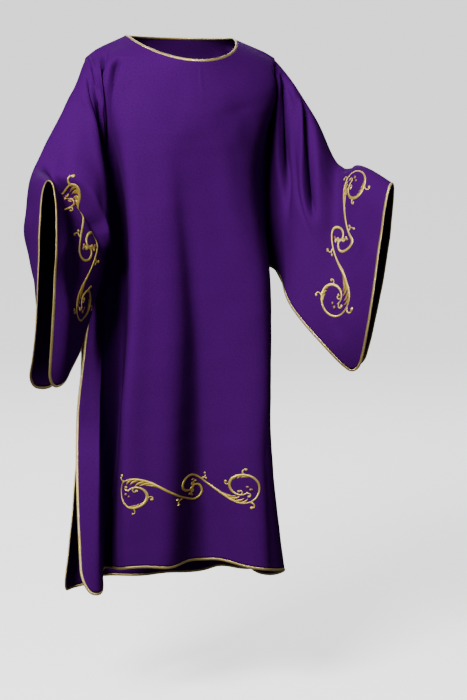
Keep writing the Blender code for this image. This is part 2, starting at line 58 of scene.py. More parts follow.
# %% Place the camera
CAMERA_PLACE = (-1.7687, -5.5252, 0.10)
CAMERA_TURN = 19.0
CAMERA_TILT = 8.26
CAMERA_LENS = 125.126

lens = bpy.data.cameras.new("portrait_lens")
lens.lens = CAMERA_LENS
lens.sensor_width = 36.0
camera = bpy.data.objects.new("camera", lens)
camera.location = CAMERA_PLACE
camera.rotation_euler = (math.radians(90 - CAMERA_TILT), 0, math.radians(-CAMERA_TURN))
bpy.context.scene.collection.objects.link(camera)
bpy.context.scene.camera = camera
print("camera at", CAMERA_PLACE, "with a lens of", CAMERA_LENS, "mm")

# %% [markdown]
# ## Smooth curves through a few values
#
# A panel is described by a short table, and everything between its rows has to be smooth. A natural
# cubic spline does that, and it is linear in the values, so one matrix of shares serves all three
# coordinates at once.

# %% Spline and soft step
def spline_shares(knots, at):
    """Share of each knot's value in the natural cubic spline at each place: value(at) = shares @ values.

    Between two knots the value is a blend of both, less a cubic part that takes each second
    derivative, found for all knots at once so that the slope is the same on both sides of a knot.
    """
    knots, at = np.asarray(knots, float), np.asarray(at, float)
    count, step = len(knots), np.diff(knots)
    inner = np.arange(1, count - 1)
    bend, pull = np.eye(count), np.zeros((count, count))
    bend[inner, inner - 1], bend[inner, inner + 1] = step[:-1], step[1:]
    bend[inner, inner] = 2 * (step[:-1] + step[1:])
    pull[inner, inner - 1], pull[inner, inner + 1] = 6 / step[:-1], 6 / step[1:]
    pull[inner, inner] = -6 / step[:-1] - 6 / step[1:]
    second, plain = np.linalg.solve(bend, pull), np.eye(count)
    k = np.clip(np.searchsorted(knots, at, side="right") - 1, 0, count - 2)
    width = step[k][..., None]
    near, far = (at - knots[k])[..., None], (knots[k + 1] - at)[..., None]
    return (
        (second[k] * far**3 + second[k + 1] * near**3) / (6 * width)
        + (plain[k] / width - second[k] * width / 6) * far
        + (plain[k + 1] / width - second[k + 1] * width / 6) * near
    )


def soft_step(x):
    """0 below 0, 1 above 1, and 3x^2 - 2x^3 between, which starts and ends level."""
    x = np.clip(x, 0, 1)
    return x * x * (3 - 2 * x)


def unit(vectors):
    """Each vector divided by its length."""
    return vectors / np.linalg.norm(vectors, axis=-1, keepdims=True)


print("soft step at a quarter:", soft_step(0.25))

# %% [markdown]
# ## Cut of the body
#
# The neck opening is a half ellipse in front and a shallower one behind. From it, lines run down to
# the hem; each has its place at six levels. The front has deep folds at both sides, where the cloth
# hangs over the arm, so its lines are close together there. The wearer's right shoulder stands a few
# millimetres higher than the left one, so the tables hold the left height and a rise is added.
#
# The front's numbers are not sizes taken from a garment. Places on fold lines were picked by eye on
# the photograph and given guessed depths, and a scratch program turned them into rows of this table.
# About 50 of its numbers are still as that program printed them. The others were moved afterwards.
# Every depth here is a guess.

# %% Neck, levels and lines of the body
CLOTH = 0.0016
NECK_HALF_WIDTH, NECK_FRONT, NECK_BACK = 0.135, 0.146, 0.080
NECK_DROP_FRONT, NECK_DROP_BACK, NECK_DROP_POWER = 0.053, 0.006, 1.3
SHOULDER_RISE, RISE_REACH = 0.009, 0.6
NECK, YOKE, CHEST, UNDERARM, THIGH, HEM = 0.0, 0.076, 0.235, 0.458, 0.727, 1.0
LEVELS = (NECK, YOKE, CHEST, UNDERARM, THIGH, HEM)
CHEST_Z, UNDERARM_Z, FRONT_THIGH_Z, BACK_THIGH_Z = -0.250, -0.530, -0.890, -0.905
BODY_WIDTH, BODY_LENGTH = 0.40, 1.32
SLEEVE_LENGTH, SLEEVE_DEPTH = 0.37, 0.49
HEM_CORNER, CUFF_CORNER = 0.040, 0.030

FRONT_LINES = (
    # across, yoke x, y, z, chest x, y, underarm x, y, thigh x, y, hem x, y, z
    (-1.00, -0.232, -0.005, -0.040, -0.216, -0.012, -0.219, 0.000, -0.276, -0.070, -0.282, -0.118, -1.278),
    (-0.91, -0.219, -0.040, -0.052, -0.204, -0.037, -0.203, -0.018, -0.238, -0.095, -0.260, -0.122, -1.291),
    (-0.80, -0.213, -0.060, -0.060, -0.200, -0.038, -0.194, -0.010, -0.224, -0.078, -0.232, -0.104, -1.290),
    (-0.65, -0.205, -0.078, -0.070, -0.184, -0.045, -0.146, -0.008, -0.160, -0.010, -0.200, -0.004, -1.262),
    (-0.51, -0.183, -0.103, -0.087, -0.182, -0.092, -0.154, -0.086, -0.172, -0.080, -0.180, -0.045, -1.253),
    (-0.38, -0.146, -0.129, -0.100, -0.180, -0.142, -0.164, -0.151, -0.184, -0.146, -0.170, -0.105, -1.240),
    (-0.26, -0.102, -0.149, -0.112, -0.138, -0.164, -0.130, -0.164, -0.136, -0.158, -0.122, -0.132, -1.235),
    (-0.13, -0.060, -0.160, -0.124, -0.096, -0.175, -0.080, -0.176, -0.074, -0.167, -0.066, -0.132, -1.239),
    (-0.07, -0.041, -0.163, -0.128, -0.078, -0.177, -0.055, -0.171, -0.046, -0.152, -0.039, -0.114, -1.238),
    (-0.01, -0.024, -0.165, -0.131, -0.060, -0.177, -0.032, -0.156, -0.016, -0.124, -0.013, -0.090, -1.238),
    (0.10, 0.018, -0.165, -0.131, -0.019, -0.175, 0.006, -0.157, 0.022, -0.112, 0.032, -0.068, -1.242),
    (0.24, 0.066, -0.159, -0.122, 0.032, -0.173, 0.050, -0.167, 0.060, -0.135, 0.074, -0.085, -1.243),
    (0.40, 0.125, -0.140, -0.105, 0.087, -0.166, 0.104, -0.178, 0.108, -0.162, 0.120, -0.132, -1.252),
    (0.54, 0.170, -0.114, -0.093, 0.140, -0.134, 0.145, -0.170, 0.148, -0.169, 0.168, -0.148, -1.260),
    (0.68, 0.197, -0.086, -0.077, 0.176, -0.082, 0.182, -0.116, 0.177, -0.144, 0.212, -0.114, -1.272),
    (0.80, 0.211, -0.060, -0.062, 0.194, -0.050, 0.200, -0.056, 0.194, -0.086, 0.245, -0.062, -1.285),
    (0.91, 0.221, -0.034, -0.050, 0.206, -0.030, 0.211, -0.018, 0.197, -0.030, 0.238, -0.008, -1.308),
    (1.00, 0.232, -0.005, -0.040, 0.216, -0.012, 0.219, 0.000, 0.200, 0.030, 0.190, 0.052, -1.332),
)

BACK_LINES = (
    # across, yoke x, y, z, chest x, y, underarm x, y, thigh x, y, hem x, y, z
    (-1.00, -0.232, -0.005, -0.040, -0.219, 0.056, -0.224, 0.046, -0.250, 0.020, -0.290, 0.022, -1.322),
    (-0.86, -0.218, 0.038, -0.052, -0.203, 0.090, -0.208, 0.085, -0.226, 0.072, -0.252, 0.078, -1.322),
    (-0.72, -0.194, 0.067, -0.056, -0.172, 0.117, -0.182, 0.110, -0.184, 0.098, -0.196, 0.080, -1.312),
    (-0.54, -0.153, 0.091, -0.060, -0.128, 0.135, -0.138, 0.140, -0.150, 0.152, -0.158, 0.162, -1.318),
    (-0.26, -0.073, 0.110, -0.064, -0.062, 0.141, -0.068, 0.135, -0.072, 0.128, -0.076, 0.124, -1.316),
    (0.00, 0.000, 0.116, -0.066, 0.000, 0.137, 0.004, 0.131, 0.010, 0.142, 0.014, 0.156, -1.322),
    (0.26, 0.073, 0.110, -0.064, 0.062, 0.141, 0.072, 0.139, 0.086, 0.140, 0.096, 0.134, -1.318),
    (0.54, 0.153, 0.091, -0.060, 0.128, 0.135, 0.140, 0.136, 0.156, 0.150, 0.168, 0.160, -1.318),
    (0.72, 0.194, 0.067, -0.056, 0.172, 0.117, 0.182, 0.110, 0.196, 0.102, 0.214, 0.096, -1.314),
    (0.86, 0.218, 0.038, -0.052, 0.203, 0.090, 0.208, 0.085, 0.228, 0.098, 0.250, 0.112, -1.312),
    (1.00, 0.232, -0.005, -0.040, 0.219, 0.056, 0.224, 0.046, 0.240, 0.075, 0.262, 0.080, -1.306),
)
print(len(FRONT_LINES), "lines down the front and", len(BACK_LINES), "down the back")

# %% [markdown]
# Along the shoulder and the armhole four panels meet, so their edges have to agree. Each edge is given
# on its own, as places down the panel, and the net of lines is drawn to it near the side. Fitting the
# net's outermost lines by hand would leave gaps at the seam that show from behind.

# %% Side edges, where the shoulder seam and the armhole run
EDGES = {
    "front_left": (
        # down, x, y, z
        (YOKE, 0.232, -0.005, -0.040),
        (0.100, 0.221, -0.033, -0.060),
        (0.140, 0.211, -0.047, -0.107),
        (0.190, 0.210, -0.038, -0.176),
        (CHEST, 0.214, -0.020, -0.250),
        (0.320, 0.218, -0.004, -0.358),
        (0.400, 0.220, 0.002, -0.463),
        (UNDERARM, 0.219, 0.002, -0.537),
    ),
    "front_right": (
        (YOKE, 0.232, -0.005, -0.040),
        (0.100, 0.236, -0.038, -0.056),
        (0.140, 0.237, -0.064, -0.103),
        (0.190, 0.226, -0.056, -0.172),
        (CHEST, 0.216, -0.032, -0.250),
        (0.320, 0.216, -0.010, -0.358),
        (0.400, 0.219, 0.000, -0.463),
        (UNDERARM, 0.219, 0.002, -0.537),
        (0.530, 0.222, 0.010, -0.636),
        (0.600, 0.240, -0.012, -0.724),
    ),
    "back": (
        (YOKE, 0.232, -0.005, -0.040),
        (0.100, 0.227, 0.027, -0.064),
        (0.140, 0.220, 0.050, -0.112),
        (0.190, 0.219, 0.060, -0.180),
        (CHEST, 0.222, 0.060, -0.250),
        (0.320, 0.225, 0.054, -0.358),
        (0.400, 0.225, 0.050, -0.463),
        (UNDERARM, 0.224, 0.045, -0.537),
    ),
}
EDGE_REACH, EDGE_FADE = 0.36, 0.12


def neckline(across, front):
    """Edge of the neck: x is the sine of across quarter turns, y and the drop follow its cosine."""
    angle = np.radians(90) * np.asarray(across, float)
    depth, drop = (-NECK_FRONT, NECK_DROP_FRONT) if front else (NECK_BACK, NECK_DROP_BACK)
    rise = SHOULDER_RISE * (1 - np.sin(angle)) / 2
    height = rise - drop * np.maximum(np.cos(angle), 0) ** NECK_DROP_POWER
    return np.stack([NECK_HALF_WIDTH * np.sin(angle), depth * np.cos(angle), height], axis=-1)


def side_edge(down, side, front):
    """Side edge of a body panel: straight along the shoulder, then a spline round the armhole."""
    rows = np.array(EDGES["back" if not front else "front_left" if side > 0 else "front_right"])
    rows[:, 1] *= side
    rows[:, 3] += SHOULDER_RISE * (side < 0) * (1 - soft_step((rows[:, 0] - YOKE) / (CHEST - YOKE)))
    neck, point = neckline(side, front), rows[0, 1:]
    down = np.asarray(down, float)
    shoulder = neck + (point - neck) * (down / YOKE)[..., None]
    armhole = spline_shares(rows[:, 0], np.clip(down, YOKE, rows[-1, 0])) @ rows[:, 1:]
    return np.where((down < YOKE)[..., None], shoulder, armhole), rows[-1, 0]


print("armholes end", round(float(side_edge(UNDERARM, 1, True)[0][2]), 3), "m below the neck")

# %% The body as a surface of two parameters
def body_surface(front, across, down):
    """Middle of a body panel's cloth, across from -1 to 1 and down from 0 to 1.

    A spline across the lines times a spline down the levels, then drawn to the side edges: the
    shift between the edge and the net fades out towards the middle and below the armhole.
    """
    rows = np.array(FRONT_LINES if front else BACK_LINES)
    net = np.zeros((len(rows), len(LEVELS), 3))
    net[:, 0] = neckline(rows[:, 0], front)
    net[:, 1] = rows[:, 1:4]
    net[:, 1, 2] += SHOULDER_RISE * soft_step(-rows[:, 0] / RISE_REACH)
    net[:, 2, :2], net[:, 2, 2] = rows[:, 4:6], CHEST_Z
    net[:, 3, :2], net[:, 3, 2] = rows[:, 6:8], UNDERARM_Z
    net[:, 4, :2], net[:, 4, 2] = rows[:, 8:10], FRONT_THIGH_Z if front else BACK_THIGH_Z
    net[:, 5] = rows[:, 10:13]

    def through_net(u, v):
        """Spline across the lines, then spline down the levels."""
        by_line = np.einsum("...i,ijk->...jk", spline_shares(rows[:, 0], u), net)
        return np.einsum("...j,...jk->...k", spline_shares(LEVELS, v), by_line)

    surface = through_net(across, down)
    for side in (-1, 1):
        edge, last = side_edge(down, side, front)
        shift = edge - through_net(np.full_like(down, side), np.minimum(down, last))
        fade = 1 - soft_step((down - last) / EDGE_FADE)
        near = soft_step((side * across - 1 + EDGE_REACH) / EDGE_REACH) * fade
        surface = surface + shift * near[..., None]
    return surface


middle = body_surface(True, np.zeros(1), np.ones(1))[0]
print("hem at the middle of the front:", [round(float(x), 3) for x in middle])

# %% [markdown]
# ## Cut of the sleeves
#
# A sleeve is a wide piece folded over the arm. Its front and back halves hang from the ridge over the
# arm, like two flags. At each station from the armhole to the cuff a half is one Bezier curve: the
# ridge, a point it goes over, a low point, and its free lower end. The over point is as high as the
# ridge, and the low point lies at a fixed share of the height. The tables give x away from the body.
# They were written by hand beside landmarks that the same program had placed, at guessed depths.

# %% Stations of the sleeves
SLEEVE_LEFT = (
    # along, ridge x, y, z, front over x, y, low x, y, end x, y, z, back over x, y, low x, y, end x, y, z
    (0.00, 0.232, -0.005, -0.040, 0.224, -0.064, 0.222, 0.000, 0.219, 0.002, -0.537,
     0.239, 0.045, 0.228, 0.050, 0.224, 0.045, -0.537),
    (0.06, 0.244, -0.020, -0.062, 0.230, -0.096, 0.229, -0.056, 0.230, -0.020, -0.546,
     0.256, 0.029, 0.244, 0.052, 0.237, 0.042, -0.539),
    (0.15, 0.262, -0.040, -0.092, 0.243, -0.098, 0.238, -0.084, 0.235, -0.055, -0.564,
     0.280, 0.009, 0.276, 0.042, 0.252, 0.036, -0.549),
    (0.32, 0.291, -0.056, -0.142, 0.264, -0.109, 0.262, -0.155, 0.229, -0.118, -0.606,
     0.316, -0.008, 0.320, 0.015, 0.276, 0.018, -0.600),
    (0.50, 0.331, -0.070, -0.214, 0.301, -0.122, 0.300, -0.205, 0.256, -0.162, -0.663,
     0.358, -0.023, 0.366, -0.030, 0.303, -0.014, -0.656),
    (0.70, 0.371, -0.094, -0.300, 0.336, -0.145, 0.331, -0.250, 0.299, -0.190, -0.719,
     0.399, -0.053, 0.408, -0.085, 0.339, -0.064, -0.720),
    (0.84, 0.392, -0.160, -0.296, 0.350, -0.215, 0.346, -0.300, 0.335, -0.200, -0.759,
     0.419, -0.123, 0.420, -0.160, 0.371, -0.110, -0.761),
    (1.00, 0.434, -0.262, -0.331, 0.384, -0.321, 0.366, -0.345, 0.372, -0.206, -0.788,
     0.462, -0.227, 0.422, -0.255, 0.405, -0.155, -0.782),
)
SLEEVE_RIGHT = (
    # along, ridge x, y, z, front over x, y, low x, y, end x, y, z, back over x, y, low x, y, end x, y, z
    (0.00, 0.232, -0.005, -0.040, 0.232, -0.072, 0.222, 0.000, 0.219, 0.002, -0.537,
     0.239, 0.045, 0.228, 0.050, 0.224, 0.045, -0.537),
    (0.06, 0.246, -0.018, -0.060, 0.240, -0.085, 0.200, -0.060, 0.227, -0.014, -0.556,
     0.256, 0.029, 0.246, 0.055, 0.244, 0.047, -0.547),
    (0.15, 0.264, -0.036, -0.090, 0.250, -0.098, 0.180, -0.175, 0.237, -0.040, -0.592,
     0.274, 0.010, 0.276, 0.045, 0.261, 0.041, -0.574),
    (0.32, 0.293, -0.054, -0.140, 0.268, -0.108, 0.204, -0.235, 0.260, -0.082, -0.662,
     0.306, -0.007, 0.318, 0.015, 0.281, 0.016, -0.664),
    (0.50, 0.331, -0.070, -0.210, 0.303, -0.122, 0.272, -0.262, 0.290, -0.138, -0.708,
     0.350, -0.023, 0.366, -0.025, 0.295, -0.040, -0.748),
    (0.70, 0.370, -0.096, -0.288, 0.338, -0.150, 0.326, -0.298, 0.326, -0.180, -0.750,
     0.412, -0.058, 0.400, -0.085, 0.332, -0.088, -0.783),
    (0.84, 0.384, -0.176, -0.300, 0.336, -0.262, 0.348, -0.328, 0.347, -0.202, -0.772,
     0.442, -0.138, 0.398, -0.165, 0.366, -0.122, -0.793),
    (1.00, 0.396, -0.276, -0.306, 0.380, -0.352, 0.392, -0.304, 0.381, -0.214, -0.780,
     0.424, -0.232, 0.406, -0.268, 0.416, -0.152, -0.781),
)


LOW_SHARE, ARMHOLE_EASE = 0.42, 0.30


def sleeve_surface(side, along, around):
    """Middle of a sleeve's cloth: along from armhole 0 to cuff 1, around from front end -1 to back end 1.

    Each half is the Bezier curve s^3 ridge + 3 s^2 t over + 3 s t^2 low + t^3 end, with s = 1 - t, and
    near the armhole it is shifted to the edges of the body panels.
    """
    rows = np.array(SLEEVE_LEFT if side > 0 else SLEEVE_RIGHT)
    rows[:, 3] += SHOULDER_RISE * (side < 0) * (1 - rows[:, 0])
    ridge, top = rows[:, 1:4], rows[:, 3]

    def half(at, over, low, end):
        """One half at the stations' shares: the Bezier curve of its four points."""
        first = at @ np.column_stack([over, top])
        third = at @ np.column_stack([low, end[:, 2] + LOW_SHARE * (top - end[:, 2])])
        t = np.abs(around)[..., None]
        s = 1 - t
        return s**3 * (at @ ridge) + 3 * s**2 * t * first + 3 * s * t**2 * third + t**3 * (at @ end)

    def both(at):
        """Front half where around is below 0, back half elsewhere, on the sleeve's own side."""
        front = half(at, rows[:, 4:6], rows[:, 6:8], rows[:, 8:11])
        back = half(at, rows[:, 11:13], rows[:, 13:15], rows[:, 15:18])
        return np.where((around < 0)[..., None], front, back) * np.array([side, 1, 1])

    down = YOKE + (UNDERARM - YOKE) * np.abs(around)
    front_edge, back_edge = side_edge(down, side, True)[0], side_edge(down, side, False)[0]
    armhole = np.where((around < 0)[..., None], front_edge, back_edge)
    shift = armhole - both(spline_shares(rows[:, 0], np.zeros_like(along)))
    fade = 1 - soft_step(along / ARMHOLE_EASE)
    return both(spline_shares(rows[:, 0], along)) + shift * fade[..., None]


print(len(SLEEVE_LEFT), "stations along each sleeve")

# %% [markdown]
# ## Creases
#
# The tables hold the broad drape. The narrower creases are laid on it as soft troughs and ridges, each
# along its own line on the cloth. A crease is uneven, as real ones are: it has its own length, width
# and height, it fades in and out, and it may lean, so that one side laps over the other. A fade out of
# 0 lets it run off the edge. Lines that spread from the shoulder come from the pull of the arm, and the
# long ones below hang from those. On the front and sleeves a scratch tool said where picked places of
# the photograph lie on the cloth, and the points were written beside its lists. The back's are guessed.

# %% Creases of the front and back
FRONT_CREASES = (
    # width, height, fade in, fade out, points (across, down)
    (0.0095, -0.014, 0.12, 0.45,
     ((-0.92, 0.052), (-0.84, 0.066), (-0.70, 0.084), (-0.74, 0.130), (-0.84, 0.172), (-0.92, 0.210))),
    (0.013, 0.008, 0.30, 0.40, ((-0.60, 0.095), (-0.63, 0.140), (-0.68, 0.190), (-0.76, 0.245))),
    (0.012, -0.006, 0.40, 0.60, ((-0.99, 0.110), (-0.96, 0.160), (-0.91, 0.220), (-0.90, 0.320))),
    (0.0085, -0.021, 0.12, 0.35,
     ((-0.65, 0.042), (-0.57, 0.070), (-0.53, 0.100), (-0.53, 0.140), (-0.56, 0.185), (-0.615, 0.235),
      (-0.67, 0.310))),
    (0.020, -0.003, 0.30, 0.60, ((-0.44, 0.060), (-0.40, 0.110), (-0.38, 0.170), (-0.37, 0.260))),
    (0.030, -0.008, 0.40, 0.60, ((0.22, 0.066), (0.34, 0.134), (0.46, 0.205), (0.53, 0.330))),
    (0.026, -0.003, 0.40, 0.60, ((0.10, 0.070), (0.24, 0.152), (0.38, 0.238), (0.44, 0.360))),
    (0.034, -0.003, 0.30, 0.50, ((0.38, 0.180), (0.45, 0.330), (0.48, 0.520), (0.47, 0.780))),
    (0.004, 0.0012, 0.10, 0.60, ((0.01, 0.002), (0.03, 0.030), (0.05, 0.060), (0.08, 0.100))),
    (0.050, 0.004, 0.50, 0.50, ((-0.30, 0.300), (-0.28, 0.450), (-0.31, 0.620), (-0.29, 0.800))),
    (0.016, -0.007, 0.30, 0.50, ((0.76, 0.060), (0.80, 0.120), (0.83, 0.200), (0.85, 0.340))),
    (0.022, -0.004, 0.50, 0.50, ((-0.94, 0.560), (-0.95, 0.680), (-0.93, 0.800), (-0.94, 0.930))),
    (0.028, -0.007, 0.60, 0.00, ((0.62, 0.640), (0.60, 0.760), (0.62, 0.880), (0.61, 0.990))),
    (0.030, 0.004, 0.60, 0.00, ((-0.16, 0.620), (-0.18, 0.760), (-0.15, 0.880), (-0.17, 0.990))),
)
BACK_CREASES = (
    (0.020, -0.016, 0.20, 0.60, ((-0.62, 0.020), (-0.66, 0.080), (-0.70, 0.170), (-0.74, 0.360))),
    (0.013, -0.010, 0.30, 0.50, ((-0.88, 0.035), (-0.84, 0.080), (-0.85, 0.130), (-0.90, 0.210))),
    (0.016, -0.006, 0.30, 0.60, ((-0.40, 0.020), (-0.44, 0.070), (-0.47, 0.150), (-0.46, 0.280))),
    (0.022, -0.017, 0.20, 0.60, ((0.64, 0.020), (0.68, 0.085), (0.71, 0.180), (0.76, 0.400))),
    (0.014, -0.005, 0.30, 0.60, ((0.46, 0.030), (0.50, 0.090), (0.52, 0.170), (0.50, 0.260))),
    (0.014, -0.008, 0.30, 0.50, ((0.86, 0.050), (0.87, 0.120), (0.90, 0.200), (0.90, 0.330))),
    (0.036, -0.012, 0.40, 0.50, ((-0.10, 0.160), (-0.14, 0.300), (-0.15, 0.480), (-0.16, 0.720))),
    (0.030, -0.011, 0.40, 0.50, ((0.36, 0.150), (0.40, 0.280), (0.42, 0.450), (0.42, 0.640))),
    (0.040, -0.006, 0.50, 0.00, ((0.12, 0.220), (0.14, 0.380), (0.12, 0.600), (0.13, 0.990))),
    (0.032, -0.009, 0.60, 0.00, ((-0.52, 0.420), (-0.50, 0.600), (-0.53, 0.780), (-0.50, 0.990))),
    (0.028, -0.008, 0.60, 0.00, ((0.66, 0.520), (0.64, 0.660), (0.67, 0.820), (0.65, 0.990))),
    (0.018, -0.003, 0.40, 0.40, ((-0.30, 0.040), (-0.18, 0.075), (0.02, 0.088), (0.22, 0.070))),
)
print(len(FRONT_CREASES) + len(BACK_CREASES), "creases on the body")

# %% Creases of the sleeves
LEFT_CREASES = (
    # width, height, fade in, fade out, points (along, around), then lap and slide where it leans
    (0.007, -0.004, 0.30, 0.60, ((0.02, -0.015), (0.04, -0.060), (0.05, -0.110))),
    (0.011, 0.007, 0.20, 0.50,
     ((0.056, -0.050), (0.060, -0.200), (0.062, -0.360), (0.078, -0.540), (0.110, -0.740)), 0.0, -0.003),
    (0.0135, -0.027, 0.06, 0.35,
     ((0.108, -0.030), (0.118, -0.200), (0.122, -0.360), (0.150, -0.560), (0.220, -0.800)), 0.016, 0.006),
    (0.008, -0.005, 0.30, 0.60, ((0.15, -0.030), (0.19, -0.120), (0.23, -0.220))),
    (0.008, -0.006, 0.35, 0.40, ((0.23, -0.350), (0.27, -0.575), (0.34, -0.648), (0.54, -0.740))),
    (0.0180, -0.028, 0.20, 0.30,
     ((0.33, -0.060), (0.362, -0.230), (0.378, -0.400), (0.388, -0.560), (0.450, -0.650)), 0.044, 0.004),
    (0.022, 0.006, 0.40, 0.50, ((0.31, -0.610), (0.40, -0.650), (0.52, -0.590), (0.65, -0.440))),
    (0.012, -0.016, 0.20, 0.50, ((0.78, 0.100), (0.77, 0.000), (0.76, -0.080), (0.71, -0.190))),
    (0.022, -0.008, 0.40, 0.50, ((0.98, -0.250), (0.91, -0.440), (0.82, -0.600), (0.66, -0.700))),
    (0.018, 0.005, 0.30, 0.50, ((0.99, -0.400), (0.91, -0.560), (0.79, -0.700), (0.64, -0.800))),
    (0.020, -0.004, 0.40, 0.40, ((0.60, -0.860), (0.72, -0.880), (0.84, -0.930))),
    (0.020, -0.014, 0.20, 0.50, ((0.34, 0.040), (0.32, 0.240), (0.34, 0.420), (0.42, 0.600))),
    (0.015, -0.011, 0.20, 0.50, ((0.12, 0.040), (0.14, 0.220), (0.15, 0.420), (0.20, 0.680))),
    (0.014, -0.007, 0.30, 0.50, ((0.55, 0.060), (0.54, 0.200), (0.58, 0.340), (0.66, 0.480))),
    (0.030, -0.010, 0.30, 0.50, ((0.90, 0.200), (0.80, 0.340), (0.68, 0.400), (0.54, 0.420))),
    (0.022, 0.006, 0.40, 0.50, ((0.92, 0.500), (0.80, 0.600), (0.66, 0.680), (0.50, 0.760))),
)
RIGHT_CREASES = (
    (0.0115, -0.024, 0.25, 0.05,
     ((0.71, -0.150), (0.615, -0.304), (0.530, -0.413), (0.433, -0.533), (0.360, -0.630),
      (0.180, -0.830)), 0.046, -0.004),
    (0.0082, -0.027, 0.30, 0.20,
     ((0.66, -0.230), (0.546, -0.370), (0.470, -0.462), (0.407, -0.554), (0.338, -0.641), (0.277, -0.707))),
    (0.011, 0.008, 0.25, 0.30,
     ((0.680, -0.200), (0.572, -0.336), (0.498, -0.426), (0.436, -0.518), (0.368, -0.606),
      (0.305, -0.676))),
    (0.022, 0.010, 0.30, 0.30, ((0.60, -0.190), (0.50, -0.330), (0.40, -0.460), (0.28, -0.610))),
    (0.034, -0.011, 0.30, 0.50, ((0.96, -0.480), (0.84, -0.600), (0.70, -0.660), (0.54, -0.660))),
    (0.014, 0.004, 0.40, 0.50, ((0.90, -0.160), (0.82, -0.260), (0.74, -0.330))),
    (0.020, -0.006, 0.40, 0.40, ((0.42, -0.780), (0.48, -0.860), (0.58, -0.930))),
    (0.012, -0.006, 0.30, 0.60, ((0.08, -0.030), (0.10, -0.140), (0.13, -0.280), (0.14, -0.420))),
    (0.020, 0.005, 0.40, 0.50, ((0.26, -0.040), (0.24, -0.160), (0.20, -0.300), (0.16, -0.460))),
    (0.018, -0.014, 0.20, 0.50, ((0.16, 0.030), (0.20, 0.200), (0.22, 0.360), (0.22, 0.600))),
    (0.020, -0.014, 0.20, 0.50, ((0.44, 0.050), (0.42, 0.240), (0.44, 0.420), (0.52, 0.600))),
    (0.014, -0.007, 0.30, 0.50, ((0.62, 0.060), (0.60, 0.180), (0.63, 0.320), (0.70, 0.460))),
    (0.026, 0.007, 0.40, 0.50, ((0.92, 0.300), (0.80, 0.420), (0.66, 0.520), (0.50, 0.640))),
    (0.022, -0.006, 0.40, 0.50, ((0.86, 0.560), (0.74, 0.680), (0.60, 0.760))),
)
print(len(LEFT_CREASES) + len(RIGHT_CREASES), "creases on the sleeves")

# %% How creases move the cloth
CREASE_STEPS, CREASE_REACH = 33, 3


def crease_moves(creases, across, down, size):
    """How far creases lift the cloth, and slide it sideways in both of its own directions, in metres.

    With b the distance beside a crease's line, over its width, and e its fade along the line:
    lift = e (height + lap b) exp(-b^2), and slide = e slide exp(-b^2), squarely across the line.
    """
    lift, slip = np.zeros(across.shape), np.zeros(across.shape + (2,))
    scale, t = np.array(size), np.linspace(0, 1, CREASE_STEPS)
    here = np.stack([across, down], axis=-1) * scale
    for width, height, fade_in, fade_out, points, *lean in creases:
        lap, slide = lean or (0.0, 0.0)
        line = spline_shares(np.linspace(0, 1, len(points)), t) @ (np.array(points) * scale)
        low, high = line.min(axis=0) - CREASE_REACH * width, line.max(axis=0) + CREASE_REACH * width
        near_line = np.all((here > low) & (here < high), axis=-1)
        spot, run = here[near_line], unit(np.gradient(line, axis=0))
        nearest = ((spot[:, None] - line) ** 2).sum(-1).argmin(axis=1)
        gap, ahead = spot - line[nearest], run[nearest]
        along = t[nearest] + (gap * ahead).sum(-1) / np.linalg.norm(np.diff(line, axis=0), axis=1).sum()
        beyond = np.maximum(np.maximum(-along, along - 1), 0) * np.linalg.norm(line[-1] - line[0]) / width
        side = np.stack([ahead[:, 1], -ahead[:, 0]], axis=-1)
        beside = (gap * side).sum(-1) / width
        fade = soft_step(along / fade_in)
        if fade_out:
            fade = fade * soft_step((1 - along) / fade_out)
        bell = fade * np.exp(-beside**2 - beyond**2)
        lift[near_line] += bell * (height + lap * beside)
        slip[near_line] += (bell * slide)[:, None] * side
    return lift, slip


WAVES, WAVE_STRETCH, WAVE_HEIGHT = (0.31, 0.19, 0.13, 0.085, 0.060), 1.7, 0.0028


def soft_unevenness(x, y, seed):
    """A few long sine waves, in different directions, that keep broad cloth from being too even."""
    rng = np.random.default_rng(seed)
    total = np.zeros(x.shape)
    for wave in WAVES:
        turn, phase = rng.uniform(0, np.pi), rng.uniform(0, 2 * np.pi, 2)
        along = (x * np.cos(turn) + y * np.sin(turn)) / wave
        beside = (y * np.cos(turn) - x * np.sin(turn)) / (wave * WAVE_STRETCH)
        total += wave * np.sin(2 * np.pi * along + phase[0]) * np.sin(2 * np.pi * beside + phase[1])
    return total * WAVE_HEIGHT


uneven = abs(soft_unevenness(*np.mgrid[0:1:50j, 0:1:50j], 3)).max()
print("unevenness up to", round(float(uneven) * 1000, 1), "mm")

# %% [markdown]
# ## Panels
#
# A panel is its surface worked out on a grid, moved by its creases, and then given the thickness of
# the cloth. The grid's lines lie closer at the edges, where seams and rounded corners are. Beside a
# seam the cloth stands up a little, because the seam allowances are pressed open behind it.

# %% Grids with rounded corners
HEM_COLUMNS, NECK_ROWS, NECK_BAND = 11, 5, 0.012
CUFF_COLUMNS, SEAM_COLUMNS, SEAM_BAND = 9, 8, 0.06
CUT_FROM, CUT_OVER = 0.80, 0.20


def edge_spacing(reach, count):
    """Places from 0 to reach that start close together: reach times 1 - cos of a quarter turn."""
    return reach * (1 - np.cos(np.linspace(0, np.pi / 2, count)))


def corner_cut(distance, radius):
    """How far a rounded corner draws the end back: a circle's own height at that distance."""
    x = np.clip(1 - distance / radius, 0, 1)
    return radius * (1 - np.sqrt(1 - x * x))


